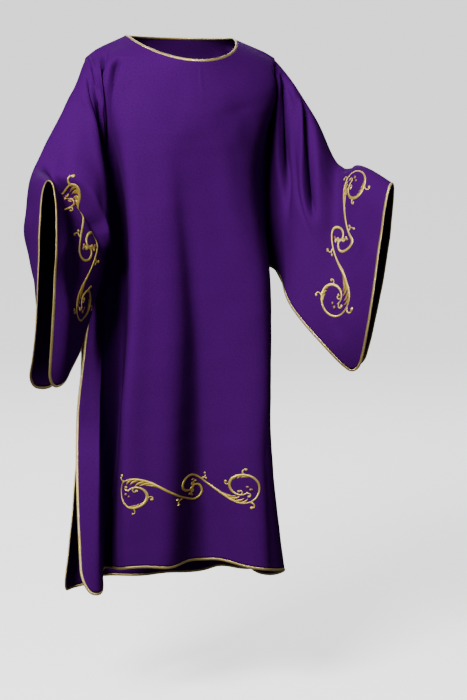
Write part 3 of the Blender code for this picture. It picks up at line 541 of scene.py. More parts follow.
def body_places(columns, rows):
    """Across and down of a body panel's grid; the hem's two corners are rounded, eased in above them."""
    edge = edge_spacing(HEM_CORNER / BODY_WIDTH, HEM_COLUMNS)
    inner = np.linspace(-1 + edge[-1], 1 - edge[-1], columns)
    across = np.concatenate([-1 + edge[:-1], inner, 1 - edge[-2::-1]])
    down = np.concatenate([edge_spacing(NECK_BAND, NECK_ROWS)[:-1], np.linspace(NECK_BAND, 1, rows)])
    u, v = np.meshgrid(across, down)
    cut = corner_cut((1 - np.abs(u)) * BODY_WIDTH, HEM_CORNER) / BODY_LENGTH
    return u, v - cut * np.clip((v - CUT_FROM) / CUT_OVER, 0, 1)


def sleeve_places(columns, rows):
    """Along and around of a sleeve's grid, with the cuff's two corners rounded."""
    edge = edge_spacing(CUFF_CORNER / SLEEVE_LENGTH, CUFF_COLUMNS)
    seam = edge_spacing(SEAM_BAND, SEAM_COLUMNS)
    along = np.concatenate([seam[:-1], np.linspace(SEAM_BAND, 1 - edge[-1], columns), 1 - edge[-2::-1]])
    a, b = np.meshgrid(along, np.linspace(-1, 1, rows))
    cut = corner_cut((1 - a) * SLEEVE_LENGTH, CUFF_CORNER) / SLEEVE_DEPTH
    return a, b * (1 - cut)


def grid_normals(surface):
    """Unit normals of a grid: the step down crossed with the step across."""
    return unit(np.cross(np.gradient(surface, axis=0), np.gradient(surface, axis=1)))


print("places nearest a cuff:", edge_spacing(CUFF_CORNER, CUFF_COLUMNS)[:3].round(5), "m from it")

# %% [markdown]
# A sewn seam is never quite flat: thread draws the cloth in, so it swells beside the seam and puckers a
# little along it. The shoulder points are sharp in the tables and round on a wearer, so they are eased
# in all four panels by one formula of the place alone, which keeps their edges together.

# %% Seams and shoulder points
SEAM_SWELL, SWELL_AT, SWELL_WIDTH, SEAM_START = 0.0045, 0.0085, 0.0062, 0.004
PUCKER, PUCKER_PITCH, PUCKER_REACH, WANDER, WANDER_TURNS = 0.0005, 0.023, 0.013, 1.7, 41.0
# side of the body, sink of the shoulder point, reach of the sink, rise, draw-in of the upper sleeve
SHOULDERS = ((1, 0.0075, 0.036, 0.0, 0.0), (-1, 0.0110, 0.048, SHOULDER_RISE, 0.008))
POINT_X, POINT_Y, POINT_Z, POINT_DEPTH_SHARE = 0.232, -0.005, -0.041, 0.4
UPPER_FROM, UPPER_OVER, UPPER_Z, UPPER_SPAN = 0.19, 0.05, -0.12, 0.09


def seam_relief(distance, run):
    """Swell beside a seam, and small puckers along it that die out within about 2 cm."""
    start = soft_step(distance / SEAM_START)
    swell = SEAM_SWELL * np.exp(-(((distance - SWELL_AT) / SWELL_WIDTH) ** 2)) * start
    wave = np.sin(2 * np.pi * run / PUCKER_PITCH + WANDER * np.sin(run * WANDER_TURNS))
    return swell + PUCKER * wave * start * np.exp(-((distance / PUCKER_REACH) ** 2))


def eased_shoulders(points):
    """Round both shoulder points off, and draw the right upper sleeve in, alike in every panel there.

    A point r from a shoulder point, with depth counted less, sinks by sink times (1 - r / reach)^2.
    """
    moved = points.copy()
    for side, sink, reach, rise, draw_in in SHOULDERS:
        x, y, z = side * points[..., 0], points[..., 1], points[..., 2]
        depth = POINT_DEPTH_SHARE * (y - POINT_Y)
        r = np.sqrt((x - POINT_X) ** 2 + (z - POINT_Z - rise) ** 2 + depth**2)
        moved[..., 2] -= sink * np.clip(1 - r / reach, 0, 1) ** 2
        upper = soft_step((x - UPPER_FROM) / UPPER_OVER) * np.exp(-(((z - UPPER_Z) / UPPER_SPAN) ** 2))
        moved[..., 0] -= side * draw_in * upper
    return moved


print("swell beside a seam", SEAM_SWELL * 1000, "mm, puckers", PUCKER_PITCH * 1000, "mm apart")

# %% Work out the four panels
# shares of a body panel's length over which its movements grow below the neck and end above the slit
NECK_HOLD, NECK_CALM, SEAM_TOP, SEAM_GROWTH, SEAM_END, SEAM_FADE = 0.015, 0.1, 0.03, 0.06, 0.02, 0.06
SEAM_FLAT = 0.024  # metres beside a sewn edge within which creases die away
# shares of a sleeve's length and half round over which its movements grow from the seam and the ridge
SEWN_CALM, SLIP_CALM, RIDGE_CALM, RIDGE_GROWTH = 0.08, 0.10, 0.04, 0.14
FRONT_SEED, BACK_SEED, SLEEVE_SEED = 11, 12, 13


def body_cloth(front, columns, rows):
    """A body panel: its surface, moved outwards by creases, unevenness and seam relief."""
    u, v = body_places(columns, rows)
    surface = eased_shoulders(body_surface(front, u, v))
    creases, seed, turn = (FRONT_CREASES, FRONT_SEED, 1) if front else (BACK_CREASES, BACK_SEED, -1)
    lift, _ = crease_moves(creases, u, v, (BODY_WIDTH, BODY_LENGTH))
    lift += soft_unevenness(u * BODY_WIDTH, v * BODY_LENGTH, seed) * soft_step(v / NECK_CALM)
    edge = (1 - np.abs(u)) * BODY_WIDTH
    sewn = 1 - soft_step((v - UNDERARM + SEAM_END) / SEAM_FADE)
    lift *= 1 - sewn * (1 - soft_step(edge / SEAM_FLAT))
    lift += seam_relief(edge, v * BODY_LENGTH) * sewn * soft_step((v - SEAM_TOP) / SEAM_GROWTH)
    lift *= soft_step(v / NECK_HOLD)
    return surface + grid_normals(surface) * turn * lift[..., None], u, v


def sleeve_cloth(side, columns, rows):
    """A sleeve, made in the same way; slides follow the cloth's own two directions."""
    a, b = sleeve_places(columns, rows)
    surface = eased_shoulders(sleeve_surface(side, a, b))
    size = (SLEEVE_LENGTH, SLEEVE_DEPTH)
    lift, slip = crease_moves(LEFT_CREASES if side > 0 else RIGHT_CREASES, a, b, size)
    lift += soft_unevenness(a * size[0], b * size[1], SLEEVE_SEED + side)
    lift *= soft_step(a / SEWN_CALM)
    lift += seam_relief(a * size[0], b * size[1]) * soft_step((np.abs(b) - RIDGE_CALM) / RIDGE_GROWTH)
    across, down = unit(np.gradient(surface, axis=1)), unit(np.gradient(surface, axis=0))
    slide = (across * slip[..., :1] + down * slip[..., 1:]) * soft_step(a / SLIP_CALM)[..., None]
    surface = surface + slide
    return surface + grid_normals(surface) * -side * lift[..., None], a, b


GRIDS = {"front": (165, 232), "back": (110, 180), "sleeve_left": (100, 185), "sleeve_right": (100, 185)}
FINE = 1.0
fine = {name: (int(columns * FINE), int(rows * FINE)) for name, (columns, rows) in GRIDS.items()}
cloths = {
    "front": body_cloth(True, *fine["front"]),
    "back": body_cloth(False, *fine["back"]),
    "sleeve_left": sleeve_cloth(1, *fine["sleeve_left"]),
    "sleeve_right": sleeve_cloth(-1, *fine["sleeve_right"]),
}
OUTWARD = {"front": 1, "back": -1, "sleeve_left": -1, "sleeve_right": 1}
for name, (surface, u, v) in cloths.items():
    low, high = surface.min(axis=(0, 1)).round(3), surface.max(axis=(0, 1)).round(3)
    print(name, surface.shape[:2], "reaches", low, high)

# %% [markdown]
# A mesh is points, faces that list their corners, and a UV place for each corner. Arrays of all three go
# to Blender in one call each. On cloth the UV is in metres along the cloth, and so is u along braid and
# stems, so that a weave or a stitch has the same size everywhere, however much its piece is folded.

# %% Make a mesh from arrays
def add_mesh(name, points, faces, corner_uv, materials, kinds=None):
    """A smooth mesh from points, faces as corner lists of one length, and a UV for each corner."""
    mesh = bpy.data.meshes.new(name)
    mesh.from_pydata(points.reshape(-1, 3), [], faces.tolist())
    layer = mesh.uv_layers.new(name="cloth")
    layer.uv.foreach_set("vector", np.ascontiguousarray(corner_uv, dtype=np.float32).ravel())
    mesh.polygons.foreach_set("use_smooth", np.ones(len(mesh.polygons), bool))
    for material in materials:
        mesh.materials.append(material)
    if kinds is not None:
        mesh.polygons.foreach_set("material_index", np.asarray(kinds, np.int32))
    mesh.update()
    thing = bpy.data.objects.new(name, mesh)
    bpy.context.scene.collection.objects.link(thing)
    return thing


def cloth_distance(surface):
    """Distance along the cloth itself: running sums of the steps across and of the steps down."""
    across = np.linalg.norm(np.diff(surface, axis=1), axis=-1)
    down = np.linalg.norm(np.diff(surface, axis=0), axis=-1)
    x, y = np.zeros(surface.shape[:2]), np.zeros(surface.shape[:2])
    x[:, 1:], y[1:] = np.cumsum(across, axis=1), np.cumsum(down, axis=0)
    middle = surface.shape[1] // 2
    return x - x[:, middle : middle + 1], y


hem_run = cloth_distance(cloths["front"][0])[0][-1]
print("front is", round(float(np.ptp(hem_run)), 3), "m wide at the hem, along the cloth")

# %% [markdown]
# ## Writing materials as sums
#
# A material is a graph of nodes. Written one node at a time it is long and hard to read, so a small
# class wraps a socket: adding or multiplying two wrapped sockets puts in the Math node for it.

# %% A wire that can be calculated with
class Wire:
    """One socket of a node tree. Sums of wires add Math nodes; node() adds any other node."""

    def __init__(self, tree, socket=None):
        self.tree, self.socket = tree, socket

    def node(self, kind, settings=None, inputs=None, output=0):
        """Add a node, choose its settings first, then give its sockets values or wires."""
        made = self.tree.nodes.new(kind)
        for key, value in (settings or {}).items():
            setattr(made, key, value)
        for key, value in (inputs or {}).items():
            if isinstance(value, Wire):
                self.tree.links.new(value.socket, made.inputs[key])
            else:
                made.inputs[key].default_value = value
        return Wire(self.tree, made.outputs[output])

    def maths(self, operation, *values):
        """One Math node on wires and numbers."""
        return self.node("ShaderNodeMath", {"operation": operation}, dict(enumerate(values)))

    def __add__(self, other):
        return self.maths("ADD", self, other)

    def __sub__(self, other):
        return self.maths("SUBTRACT", self, other)

    def __rsub__(self, other):
        return self.maths("SUBTRACT", other, self)

    def __mul__(self, other):
        return self.maths("MULTIPLY", self, other)

    __radd__, __rmul__ = __add__, __mul__

    def wave(self):
        """Sine of one turn for each unit, from 0 to 1."""
        return self.maths("SINE", self * (2 * math.pi)) * 0.5 + 0.5

    def mixed(self, low, high):
        """A colour between low where this is 0 and high where it is 1."""
        low, high = (end if isinstance(end, Wire) else (*end, 1) for end in (low, high))
        return self.node("ShaderNodeMix", {"data_type": "RGBA"}, {0: self, 6: low, 7: high}, 2)

    def noise(self, place, scale, detail=2.0):
        """Soft noise at a place, with scale bumps or so for each unit."""
        return self.node("ShaderNodeTexNoise", {}, {"Vector": place, "Scale": scale, "Detail": detail})

    def bump(self, strength, distance):
        """This wire as a height of so many metres, for the shader's normal."""
        sockets = {"Height": self, "Strength": strength, "Distance": distance}
        return self.node("ShaderNodeBump", {}, sockets)


def new_material(name, constants):
    """A material whose shader has these constants; gives it back with a wire and a way to feed it."""
    material = bpy.data.materials.new(name)
    material.use_nodes = True
    shader = material.node_tree.nodes["Principled BSDF"]
    for key, value in constants.items():
        shader.inputs[key].default_value = value

    def feed(**wires):
        for key, wire in wires.items():
            material.node_tree.links.new(wire.socket, shader.inputs[key.replace("_", " ")])

    return material, Wire(material.node_tree), feed


def cloth_places(wire):
    """The piece's own UV map, its u and v apart, and the place in the solid in metres."""
    place = wire.node("ShaderNodeUVMap", {"uv_map": "cloth"})
    u, v = (wire.node("ShaderNodeSeparateXYZ", {}, {0: place}, axis) for axis in (0, 1))
    return place, u, v, wire.node("ShaderNodeTexCoord", {}, {}, "Object")


print("wires ready")

# %% [markdown]
# ## The purple cloth
#
# It is a fine, matt wool twill: a deep purple with faint diagonal lines less than a millimetre apart,
# and a slight nap that catches light at the edge of a fold. The lines follow the cloth's own UV map,
# which is in metres along the cloth, so they bend with each fold. A little sheen and paler flecks a few
# millimetres wide give the nap, and a slow noise keeps the dye from looking printed.

# %% Purple twill
TWILL_PITCH, YARN_SHARE = 0.00085, 0.62
DYE_DEEP, DYE_FULL, NAP = (0.0285, 0.00020, 0.061), (0.0370, 0.00035, 0.079), (0.050, 0.0008, 0.100)
purple_twill, wire, feed = new_material("purple_twill", {
    "Roughness": 0.72, "Specular IOR Level": 0.02,
    "Sheen Weight": 0.02, "Sheen Roughness": 0.40, "Sheen Tint": (0.45, 0.10, 0.90, 1),
})
thread, u, v, solid = cloth_places(wire)
rib = ((u + v * 0.8) * (1 / TWILL_PITCH)).wave()
yarn = ((u * 0.9 - v) * (1 / (TWILL_PITCH * YARN_SHARE))).wave()
dye, cloud, slub = wire.noise(solid, 9.0, 3.0), wire.noise(thread, 260.0), wire.noise(thread, 900.0)
weave = rib * 0.6 + yarn * 0.25 + slub * 0.4
# The colour is a little paler on the raised twill lines, as a painted highlight, and paler at random in
# flecks of nap.
fleck_and_rib_sheen = (cloud * 1.7 - 0.55 + rib * 0.12).mixed(dye.mixed(DYE_DEEP, DYE_FULL), NAP)
feed(Base_Color=fleck_and_rib_sheen, Roughness=slub * 0.12 + 0.66, Normal=weave.bump(0.35, 0.00022))
print("twill lines", TWILL_PITCH * 1000, "mm apart")

# %% [markdown]
# ## Gold: braid, satin stitch, old gold and copper
#
# All gold here is metal thread. In the braid it is woven in short diagonal ribs, so it sparkles in
# flecks; its colour is painted darker between the ribs as painted shade, lighter on them as painted
# light, and paler in flecks as painted glints. In the embroidery it lies as satin stitch, side by side
# across each stem, and shines in one direction. The leaves use a darker old gold, and the berries are
# copper thread.

# %% Gold braid
RIB_PITCH = 0.0017
# Braid colours: the first is painted shade for the grooves between the ribs, the second painted light for
# the ribs, the third a painted glint.
BRAID_GROOVE_SHADE, BRAID_RIB_LIT, BRAID_GLINT = (0.26, 0.170, 0.045), (0.55, 0.395, 0.130), (0.88, 0.72, 0.32)
gold_braid, wire, feed = new_material("gold_braid", {"Metallic": 0.80, "Roughness": 0.42})
_, u, v, solid = cloth_places(wire)
ribs = (u * (1 / RIB_PITCH) + v * 3.0).wave()
strands = (u * (0.5 / RIB_PITCH) - v * 6.0).wave()
flecks = wire.noise(solid, 620.0)
glint = wire.node("ShaderNodeMapRange", {}, {"Value": flecks, "From Min": 0.40, "From Max": 0.62})
feed(
    # Base colour: darker between the ribs as painted shade, lighter on them as painted light, and paler in
    # flecks as painted glints.
    Base_Color=(glint * 0.6).mixed(ribs.mixed(BRAID_GROOVE_SHADE, BRAID_RIB_LIT), BRAID_GLINT),
    Roughness=0.52 - glint * 0.24,
    Normal=(ribs * 0.7 + strands * 0.3 + flecks * 0.4).bump(0.75, 0.0005),
)
print("braid ribs", RIB_PITCH * 1000, "mm apart")

# %% [markdown]
# Satin stitch is many short threads laid close together across a stem. Modelling each would cost
# millions of faces, so the stem is one low dome and the threads are a bump along its own UV map. The
# same function makes all three threads, because they differ in metal and tone only.

# %% Satin stitch in three threads
STITCH = 0.00055
THREADS = (
    # name, in the shade, in the light, metallic, roughness
    ("gold_thread", (0.40, 0.250, 0.022), (0.99, 0.76, 0.160), 0.65, 0.32),
    ("old_gold_thread", (0.24, 0.135, 0.011), (0.72, 0.48, 0.070), 0.65, 0.38),
    ("copper_thread", (0.16, 0.065, 0.045), (0.40, 0.20, 0.14), 0.70, 0.42),
)


def satin_thread(name, dark, light, metal, rough):
    """Stitches laid across a stem: fine ridges that lean a little, painted darker between them as
    painted shade and lighter on them as painted light, and a slow change of tone.
    """
    material, wire, feed = new_material(name, {"Metallic": metal, "Roughness": rough})
    _, u, v, solid = cloth_places(wire)
    stitches, stray = (u * (1 / STITCH) + v * 1.5).wave(), wire.noise(solid, 420.0)
    feed(
        # Base colour: darker between the stitches as painted shade, lighter on them as painted light, and
        # lighter or darker at random.
        Base_Color=(stitches * 0.5 + stray * 0.6).mixed(dark, light),
        Roughness=rough + 0.10 - stray * 0.20,
        Normal=(stitches + stray * 0.5).bump(0.55, 0.00018),
    )
    return material


threads = [satin_thread(*row) for row in THREADS]
print(len(threads), "threads, stitches", STITCH * 1000, "mm apart")

# %% [markdown]
# ## From surface to cloth
#
# Real cloth has two faces and a thickness. Each panel is doubled half a thickness to either side, and a
# rim joins both all round, so the shell is closed and its inner side shows through the open sides.

# %% Panels as closed shells
def add_panel(name, piece_name):
    """A panel of cloth: outer and inner faces of its grid and a rim of quads, all facing outwards."""
    surface = cloths[name][0]
    wall = grid_normals(surface) * OUTWARD[name]
    points = np.concatenate([surface + wall * CLOTH / 2, surface - wall * CLOTH / 2])
    index = np.arange(wall[..., 0].size).reshape(wall.shape[:2])
    over = np.stack([index[:-1, :-1], index[1:, :-1], index[1:, 1:], index[:-1, 1:]], axis=-1).reshape(-1, 4)
    ring = np.concatenate([index[0, :-1], index[:-1, -1], index[-1, :0:-1], index[:0:-1, 0]])
    after, below = np.roll(ring, -1), index.size
    rim = np.stack([ring, after, after + below, ring + below], axis=-1)
    faces = np.concatenate([over, over[:, ::-1] + below, rim])
    if OUTWARD[name] < 0:
        faces = faces[:, ::-1]
    x, y = cloth_distance(surface)
    uv = np.tile(np.stack([x, y], axis=-1).reshape(-1, 2), (2, 1))
    return add_mesh(piece_name, points, faces, uv[faces], [purple_twill]), wall


PIECE = {
    "front": "front_cloth", "back": "back_cloth",
    "sleeve_left": "left_sleeve_cloth", "sleeve_right": "right_sleeve_cloth",
}
panels, walls = {}, {}
for name, piece_name in PIECE.items():
    panels[name], walls[name] = add_panel(name, piece_name)
    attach(panels[name], "root")
    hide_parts(name)
    print(piece_name, len(panels[name].data.polygons) * 2, "triangles")

# %% [markdown]
# ## Gold braid on every edge
#
# The braid is folded over the raw edge and sewn down, and it stands just outside the cloth. It could be
# a curve with a bevel, but its flat side has to stay in line with the cloth as the edge twists. So its
# section is carried along the edge by hand: across it runs away from the cloth, and its thickness
# follows the cloth's own normal.

# %% Carry a section along an edge
BRAID_WIDTH, BRAID_THICK, BRAID_SINK = 0.0066, 0.0036, 0.0004
BRAID_SIDES, BRAID_FLAT, BRAID_ROUND = 14, 0.8, 0.9
CLOSING_STEP = 0.003


def signed_power(values, power):
    """A power of the size of each value, with the value's own sign."""
    return np.sign(values) * np.abs(values) ** power


def braid_along(points, beside, away, closed):
    """Rings of a rounded, flat section: width times cos^0.8 across, thickness times sin^0.9 outwards."""
    if closed:
        along = unit(np.roll(points, -1, axis=0) - np.roll(points, 1, axis=0))
    else:
        along = unit(np.gradient(points, axis=0))
    out = unit(points - beside)
    out = unit(out - (out * along).sum(-1, keepdims=True) * along)
    face = unit(np.cross(along, out))
    face *= np.sign((face * away).sum(-1, keepdims=True))
    turn = np.arange(BRAID_SIDES) * 2 * np.pi / BRAID_SIDES
    across = signed_power(np.cos(turn), BRAID_FLAT) * BRAID_WIDTH / 2
    height = signed_power(np.sin(turn), BRAID_ROUND) * BRAID_THICK / 2
    middle = points + out * (BRAID_WIDTH / 2 - BRAID_SINK)
    rings = middle[:, None] + out[:, None] * across[:, None] + face[:, None] * height[:, None]
    return rings, np.dot(np.cross(out[0], face[0]), along[0]) > 0


def running_length(points):
    """Distance along a line of points, from its first point to each."""
    return np.concatenate([[0], np.cumsum(np.linalg.norm(np.diff(points, axis=0), axis=1))])


def tube_quads(run, sides, closed):
    """Corner numbers and UVs of a tube's quads: u runs along it in metres, v once round it."""
    count = len(run)
    i, k = np.meshgrid(np.arange(count if closed else count - 1), np.arange(sides), indexing="ij")
    i, k = i.ravel(), k.ravel()
    j, m = (i + 1) % count, (k + 1) % sides
    quads = np.stack([i * sides + k, i * sides + m, j * sides + m, j * sides + k], axis=-1)
    here, ahead = run[i], np.where(j > i, run[j], run[i] + CLOSING_STEP)
    near, far = k / sides, (k + 1) / sides
    return quads, np.stack([here, near, here, far, ahead, far, ahead, near], axis=-1).reshape(-1, 4, 2)


def add_tube(name, rings, turned, closed, materials):
    """A tube from its rings, with caps where it ends."""
    sides = rings.shape[1]
    faces, corner = tube_quads(running_length(rings.mean(axis=1)), sides, closed)
    if turned:
        faces, corner = faces[:, ::-1], corner[:, ::-1]
    thing = add_mesh(name, rings, faces, corner, materials)
    if not closed:
        shape = bmesh.new()
        shape.from_mesh(thing.data)
        bmesh.ops.holes_fill(shape, edges=[edge for edge in shape.edges if edge.is_boundary], sides=sides)
        bmesh.ops.recalc_face_normals(shape, faces=shape.faces)
        shape.to_mesh(thing.data)
        shape.free()
    return thing


print("braid", BRAID_WIDTH * 1000, "mm wide")

# %% Bind the edges
BRAID_START = UNDERARM + 0.004
INSIDE, NECK_INSIDE = 2, 3
EDGE_EVENING, NECK_EVENING = 3, 2


def free_edge(surface, wall, first):
    """Edge of a panel down one side, along its end and up the other side, with places inside it."""
    last_row, last_column = surface.shape[0] - 1, surface.shape[1] - 1
    down = [(i, 0) for i in range(first, last_row)]
    along = [(last_row, j) for j in range(last_column)]
    up = [(i, last_column) for i in range(last_row, first - 1, -1)]
    places = np.array(down + along + up)
    inside = places.copy()
    inside[:, 0] = np.clip(inside[:, 0], 0, last_row - INSIDE)
    inside[:, 1] = np.clip(inside[:, 1], INSIDE, last_column - INSIDE)
    return surface[tuple(places.T)], surface[tuple(inside.T)], wall[tuple(places.T)]


def even_out(values, steps, closed=False):
    """Each place takes a share of its neighbours, several times, which smooths a line's small kinks."""
    for _ in range(steps):
        if closed:
            values = (np.roll(values, 1, axis=0) + 2 * values + np.roll(values, -1, axis=0)) / 4
        else:
            inner = (values[:-2] + 2 * values[1:-1] + values[2:]) / 4
            values = np.concatenate([values[:1], inner, values[-1:]])
    return values


bindings = {}
for name, (surface, u, v) in cloths.items():
    wall = walls[name]
    if name.startswith("sleeve"):
        surface, wall, first = surface.transpose(1, 0, 2), wall.transpose(1, 0, 2), 0
    else:
        first = int(np.searchsorted(v[:, v.shape[1] // 2], BRAID_START))
    points, beside, away = free_edge(surface, wall, first)
    rings, turned = braid_along(points, beside, even_out(away, EDGE_EVENING), False)
    bindings[name] = add_tube(PIECE[name].replace("cloth", "binding"), rings, turned, False, [gold_braid])


def round_neck(front, back, row):
    """A closed line round the neck: along one row of the front, and the other way along the back's."""
    return np.concatenate([front[row, :-1], back[row, :0:-1]])


panel_grids = cloths["front"][0], cloths["back"][0]
neck_line = even_out(round_neck(*panel_grids, 0), NECK_EVENING, True)
neck_away = round_neck(walls["front"], walls["back"], 0)
rings, turned = braid_along(neck_line, round_neck(*panel_grids, NECK_INSIDE), neck_away, True)
bindings["neck"] = add_tube("neck_binding", rings, turned, True, [gold_braid])
for name, binding in bindings.items():
    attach(binding, "root")
    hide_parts(name + "_braid")
    print(binding.name, len(binding.data.polygons) * 2, "triangles")

# %% [markdown]
# ## Embroidered scrolls
#
# Each scroll is two equal halves, the second turned half round the middle. A half is one long stem: it
# starts as a small hook, crosses the other half's hook, sweeps over a shoulder with leaves and rolls up
# into a big spiral. Curls with beads spring from it, and copper berries sit in the hollows. It could be
# drawn point by point, but spirals with falling radius and curls with growing bend give the lines a
# needleworker gets by hand. All of it is drawn flat first, in metres, and laid on the cloth afterwards.

# %% Lines of half a scroll
# centre, first and last radius, start and end in degrees, rise
HOOK = ((0.008, -0.010), 0.0100, 0.0230, 200, -118, 0.80)
ROLL = ((-0.124, -0.004), 0.0415, 0.0150, 70, 500, 1.55)
SPIRAL_STEPS, BRIDGE_STEPS, BRIDGE_PULL = 90, 60, 0.105
STEM_STEP, CURL_STEP, CURL_POWER = 0.0021, 0.0011, 1.7
FEWEST_STEM, FEWEST_CURL = 5, 9


def spiral(centre, first, last, start, end, rise):
    """A spiral: its angle runs evenly from start to end degrees, and its radius as share^rise."""
    share = np.linspace(0, 1, SPIRAL_STEPS)
    angle = np.radians(start + (end - start) * share)
    radius = first + (last - first) * share**rise
    return np.array(centre) + radius[:, None] * np.stack([np.cos(angle), np.sin(angle)], axis=-1)


def bridged(first, last, pull):
    """Two curves and a cubic between them that leaves and arrives in their own directions."""
    a, b = first[-1], last[0]
    leave, arrive = unit(a - first[-2]) * pull, unit(last[1] - b) * pull
    t = np.linspace(0, 1, BRIDGE_STEPS)[1:-1, None]
    bridge = (2 * t**3 - 3 * t**2 + 1) * a + (t**3 - 2 * t**2 + t) * leave
    bridge += (3 * t**2 - 2 * t**3) * b + (t**3 - t**2) * arrive
    return np.concatenate([first, bridge, last])


def even_steps(points, step):
    """The same curve in even steps."""
    run = running_length(points)
    at = np.linspace(0, run[-1], max(FEWEST_STEM, int(run[-1] / step)))
    return np.stack([np.interp(at, run, points[:, k]) for k in (0, 1)], axis=-1)


def curl(stem, share, angle, length, bend):
    """A curve that leaves the stem at an angle and bends more and more: bend degrees times share^1.7."""
    place = share * (len(stem) - 1)
    near = int(min(place, len(stem) - 2))
    ahead = stem[near + 1] - stem[near]
    root = stem[near] + ahead * (place - near)
    heading = np.arctan2(ahead[1], ahead[0]) + math.radians(angle)
    count = max(FEWEST_CURL, int(length / CURL_STEP))
    bearing = heading + np.radians(bend) * np.linspace(0, 1, count) ** CURL_POWER
    steps = np.stack([np.cos(bearing), np.sin(bearing)], axis=-1) * length / count
    return root + np.cumsum(steps, axis=0)


stem = even_steps(bridged(spiral(*HOOK), spiral(*ROLL), BRIDGE_PULL), STEM_STEP)
print("stem", len(stem), "steps")

# %% Stem, leaves, curls and beads of half a scroll
STEM_WIDTH = (
    # share of the stem, half width
    (0.0, 0.0013), (0.03, 0.0028), (0.14, 0.0034), (0.28, 0.0024), (0.42, 0.0036),
    (0.55, 0.0020), (0.70, 0.0029), (0.86, 0.0035), (0.95, 0.0025), (1.0, 0.0012),
)
CURLS = (
    # share of the stem, angle, length, bend, half width at the root, bead radius
    (0.004, 150, 0.011, -190, 0.0017, 0.0030),
    (0.004, 222, 0.012, 190, 0.0017, 0.0031),
    (0.262, 46, 0.022, 110, 0.0018, 0.0034),
    (0.262, 70, 0.017, -95, 0.0016, 0.0031),
    (0.558, -32, 0.027, -185, 0.0024, 0.0040),
    (0.770, -42, 0.021, -150, 0.0019, 0.0035),
    (0.868, -50, 0.018, -185, 0.0018, 0.0033),
    (0.960, 44, 0.020, 200, 0.0019, 0.0034),
    (0.985, -14, 0.020, -200, 0.0020, 0.0037),
)
LEAVES = (
    # share of the stem, angle, length, bend, greatest half width
    (0.392, 12, 0.028, 30, 0.0024),
    (0.424, 22, 0.028, 46, 0.0030),
    (0.452, 29, 0.027, 54, 0.0034),
    (0.482, 28, 0.025, 52, 0.0033),
    (0.512, 24, 0.022, 50, 0.0028),
    (0.740, 22, 0.023, 46, 0.0027),
    (0.770, 20, 0.020, 44, 0.0023),
    (0.798, 16, 0.016, 40, 0.0019),
)
BERRIES = (
    # x, y, radius
    (0.0000, -0.0195, 0.0038), (-0.1430, -0.0010, 0.0044), (-0.1350, -0.0070, 0.0036),
)
STEM_RISE, STEM_BASE, LINE_HEIGHT, BEAD_HEIGHT, BERRY_SHARE = 0.30, 0.0007, 0.0011, 0.0019, 0.75
LEAF_FROM, LEAF_TO, LEAF_BELLY, LEAF_EDGE, CURL_TIP = 0.05, 0.97, 0.8, 0.0002, 0.62
BEAD_RINGS, BEAD_TIP = 9, 0.12
GOLD, OLD_GOLD, COPPER = 0, 1, 2


def bead(x, y, radius, height, thread):
    """A dome, as a strip as long as it is wide, whose width and height are those of a circle."""
    share = 0.5 - 0.5 * np.cos(np.linspace(BEAD_TIP, np.pi - BEAD_TIP, BEAD_RINGS))
    bulge = 2 * np.sqrt(share * (1 - share))
    line = np.stack([x + radius * (2 * share - 1), np.full(BEAD_RINGS, y)], axis=-1)
    return line, radius * bulge, height * bulge, thread


stem_half = np.interp(np.linspace(0, 1, len(stem)), *np.array(STEM_WIDTH).T)
strips = [(stem, stem_half, stem_half * STEM_RISE + STEM_BASE, GOLD)]
for share, angle, length, bend, half in LEAVES:
    line = curl(stem, share, angle, length, bend)
    drop = np.sin(np.pi * np.linspace(LEAF_FROM, LEAF_TO, len(line)) ** LEAF_BELLY)
    strips.append((line, half * drop + LEAF_EDGE, LINE_HEIGHT * drop**0.5, OLD_GOLD))
for share, angle, length, bend, half, radius in CURLS:
    line = curl(stem, share, angle, length, bend)
    taper = np.linspace(1, CURL_TIP, len(line))
    strips.append((line, half * taper, LINE_HEIGHT * taper, GOLD))
    strips.append(bead(*line[-1], radius, BEAD_HEIGHT, GOLD))
strips += [bead(x, y, radius, radius * BERRY_SHARE, COPPER) for x, y, radius in BERRIES]
print("half a scroll:", len(strips), "strips")

# %% [markdown]
# The flat drawing is laid along a line on the panel. A place so far along the drawing goes as far along
# that line, and a place beside it goes square off the line by the same distance on the cloth. Then each
# strip becomes a low dome that stands on the cloth and follows every crease under it.

# %% Lay strips on the cloth
SCROLL_LINES = {
    # places across and down the panel, or along and around it, at each quarter of the drawing's length
    "front": ((-0.43, 0.857), (-0.230, 0.857), (0.012, 0.858), (0.262, 0.857), (0.530, 0.858)),
    "sleeve_left": ((0.712, -0.880), (0.702, -0.717), (0.720, -0.543), (0.797, -0.357), (0.850, -0.100)),
    "sleeve_right": ((0.590, -0.862), (0.485, -0.775), (0.470, -0.655), (0.534, -0.476), (0.682, -0.288)),
}
SCROLL_REACH, SCROLL_TALL = 0.17, 0.95
LINE_PLACES, SLOPE_STEP = 161, 0.02


def grid_sample(name, grid, u, v):
    """Values of a panel's grid at places between its nodes."""
    _, us, vs = cloths[name]
    middle = us.shape[1] // 2
    j = np.clip(np.interp(u, us[0], np.arange(us.shape[1])), 0, us.shape[1] - 1.001)
    i = np.clip(np.interp(v, vs[:, middle], np.arange(vs.shape[0])), 0, vs.shape[0] - 1.001)
    i0, j0 = i.astype(int), j.astype(int)
    p, q = (i - i0)[..., None], (j - j0)[..., None]
    top = grid[i0, j0] * (1 - q) + grid[i0, j0 + 1] * q
    low = grid[i0 + 1, j0] * (1 - q) + grid[i0 + 1, j0 + 1] * q
    return top * (1 - p) + low * p


def smooth_surface(name, u, v):
    """The panel before its creases, on which the drawing is measured."""
    if name == "front":
        return body_surface(True, u, v)
    return sleeve_surface(1 if name == "sleeve_left" else -1, u, v)


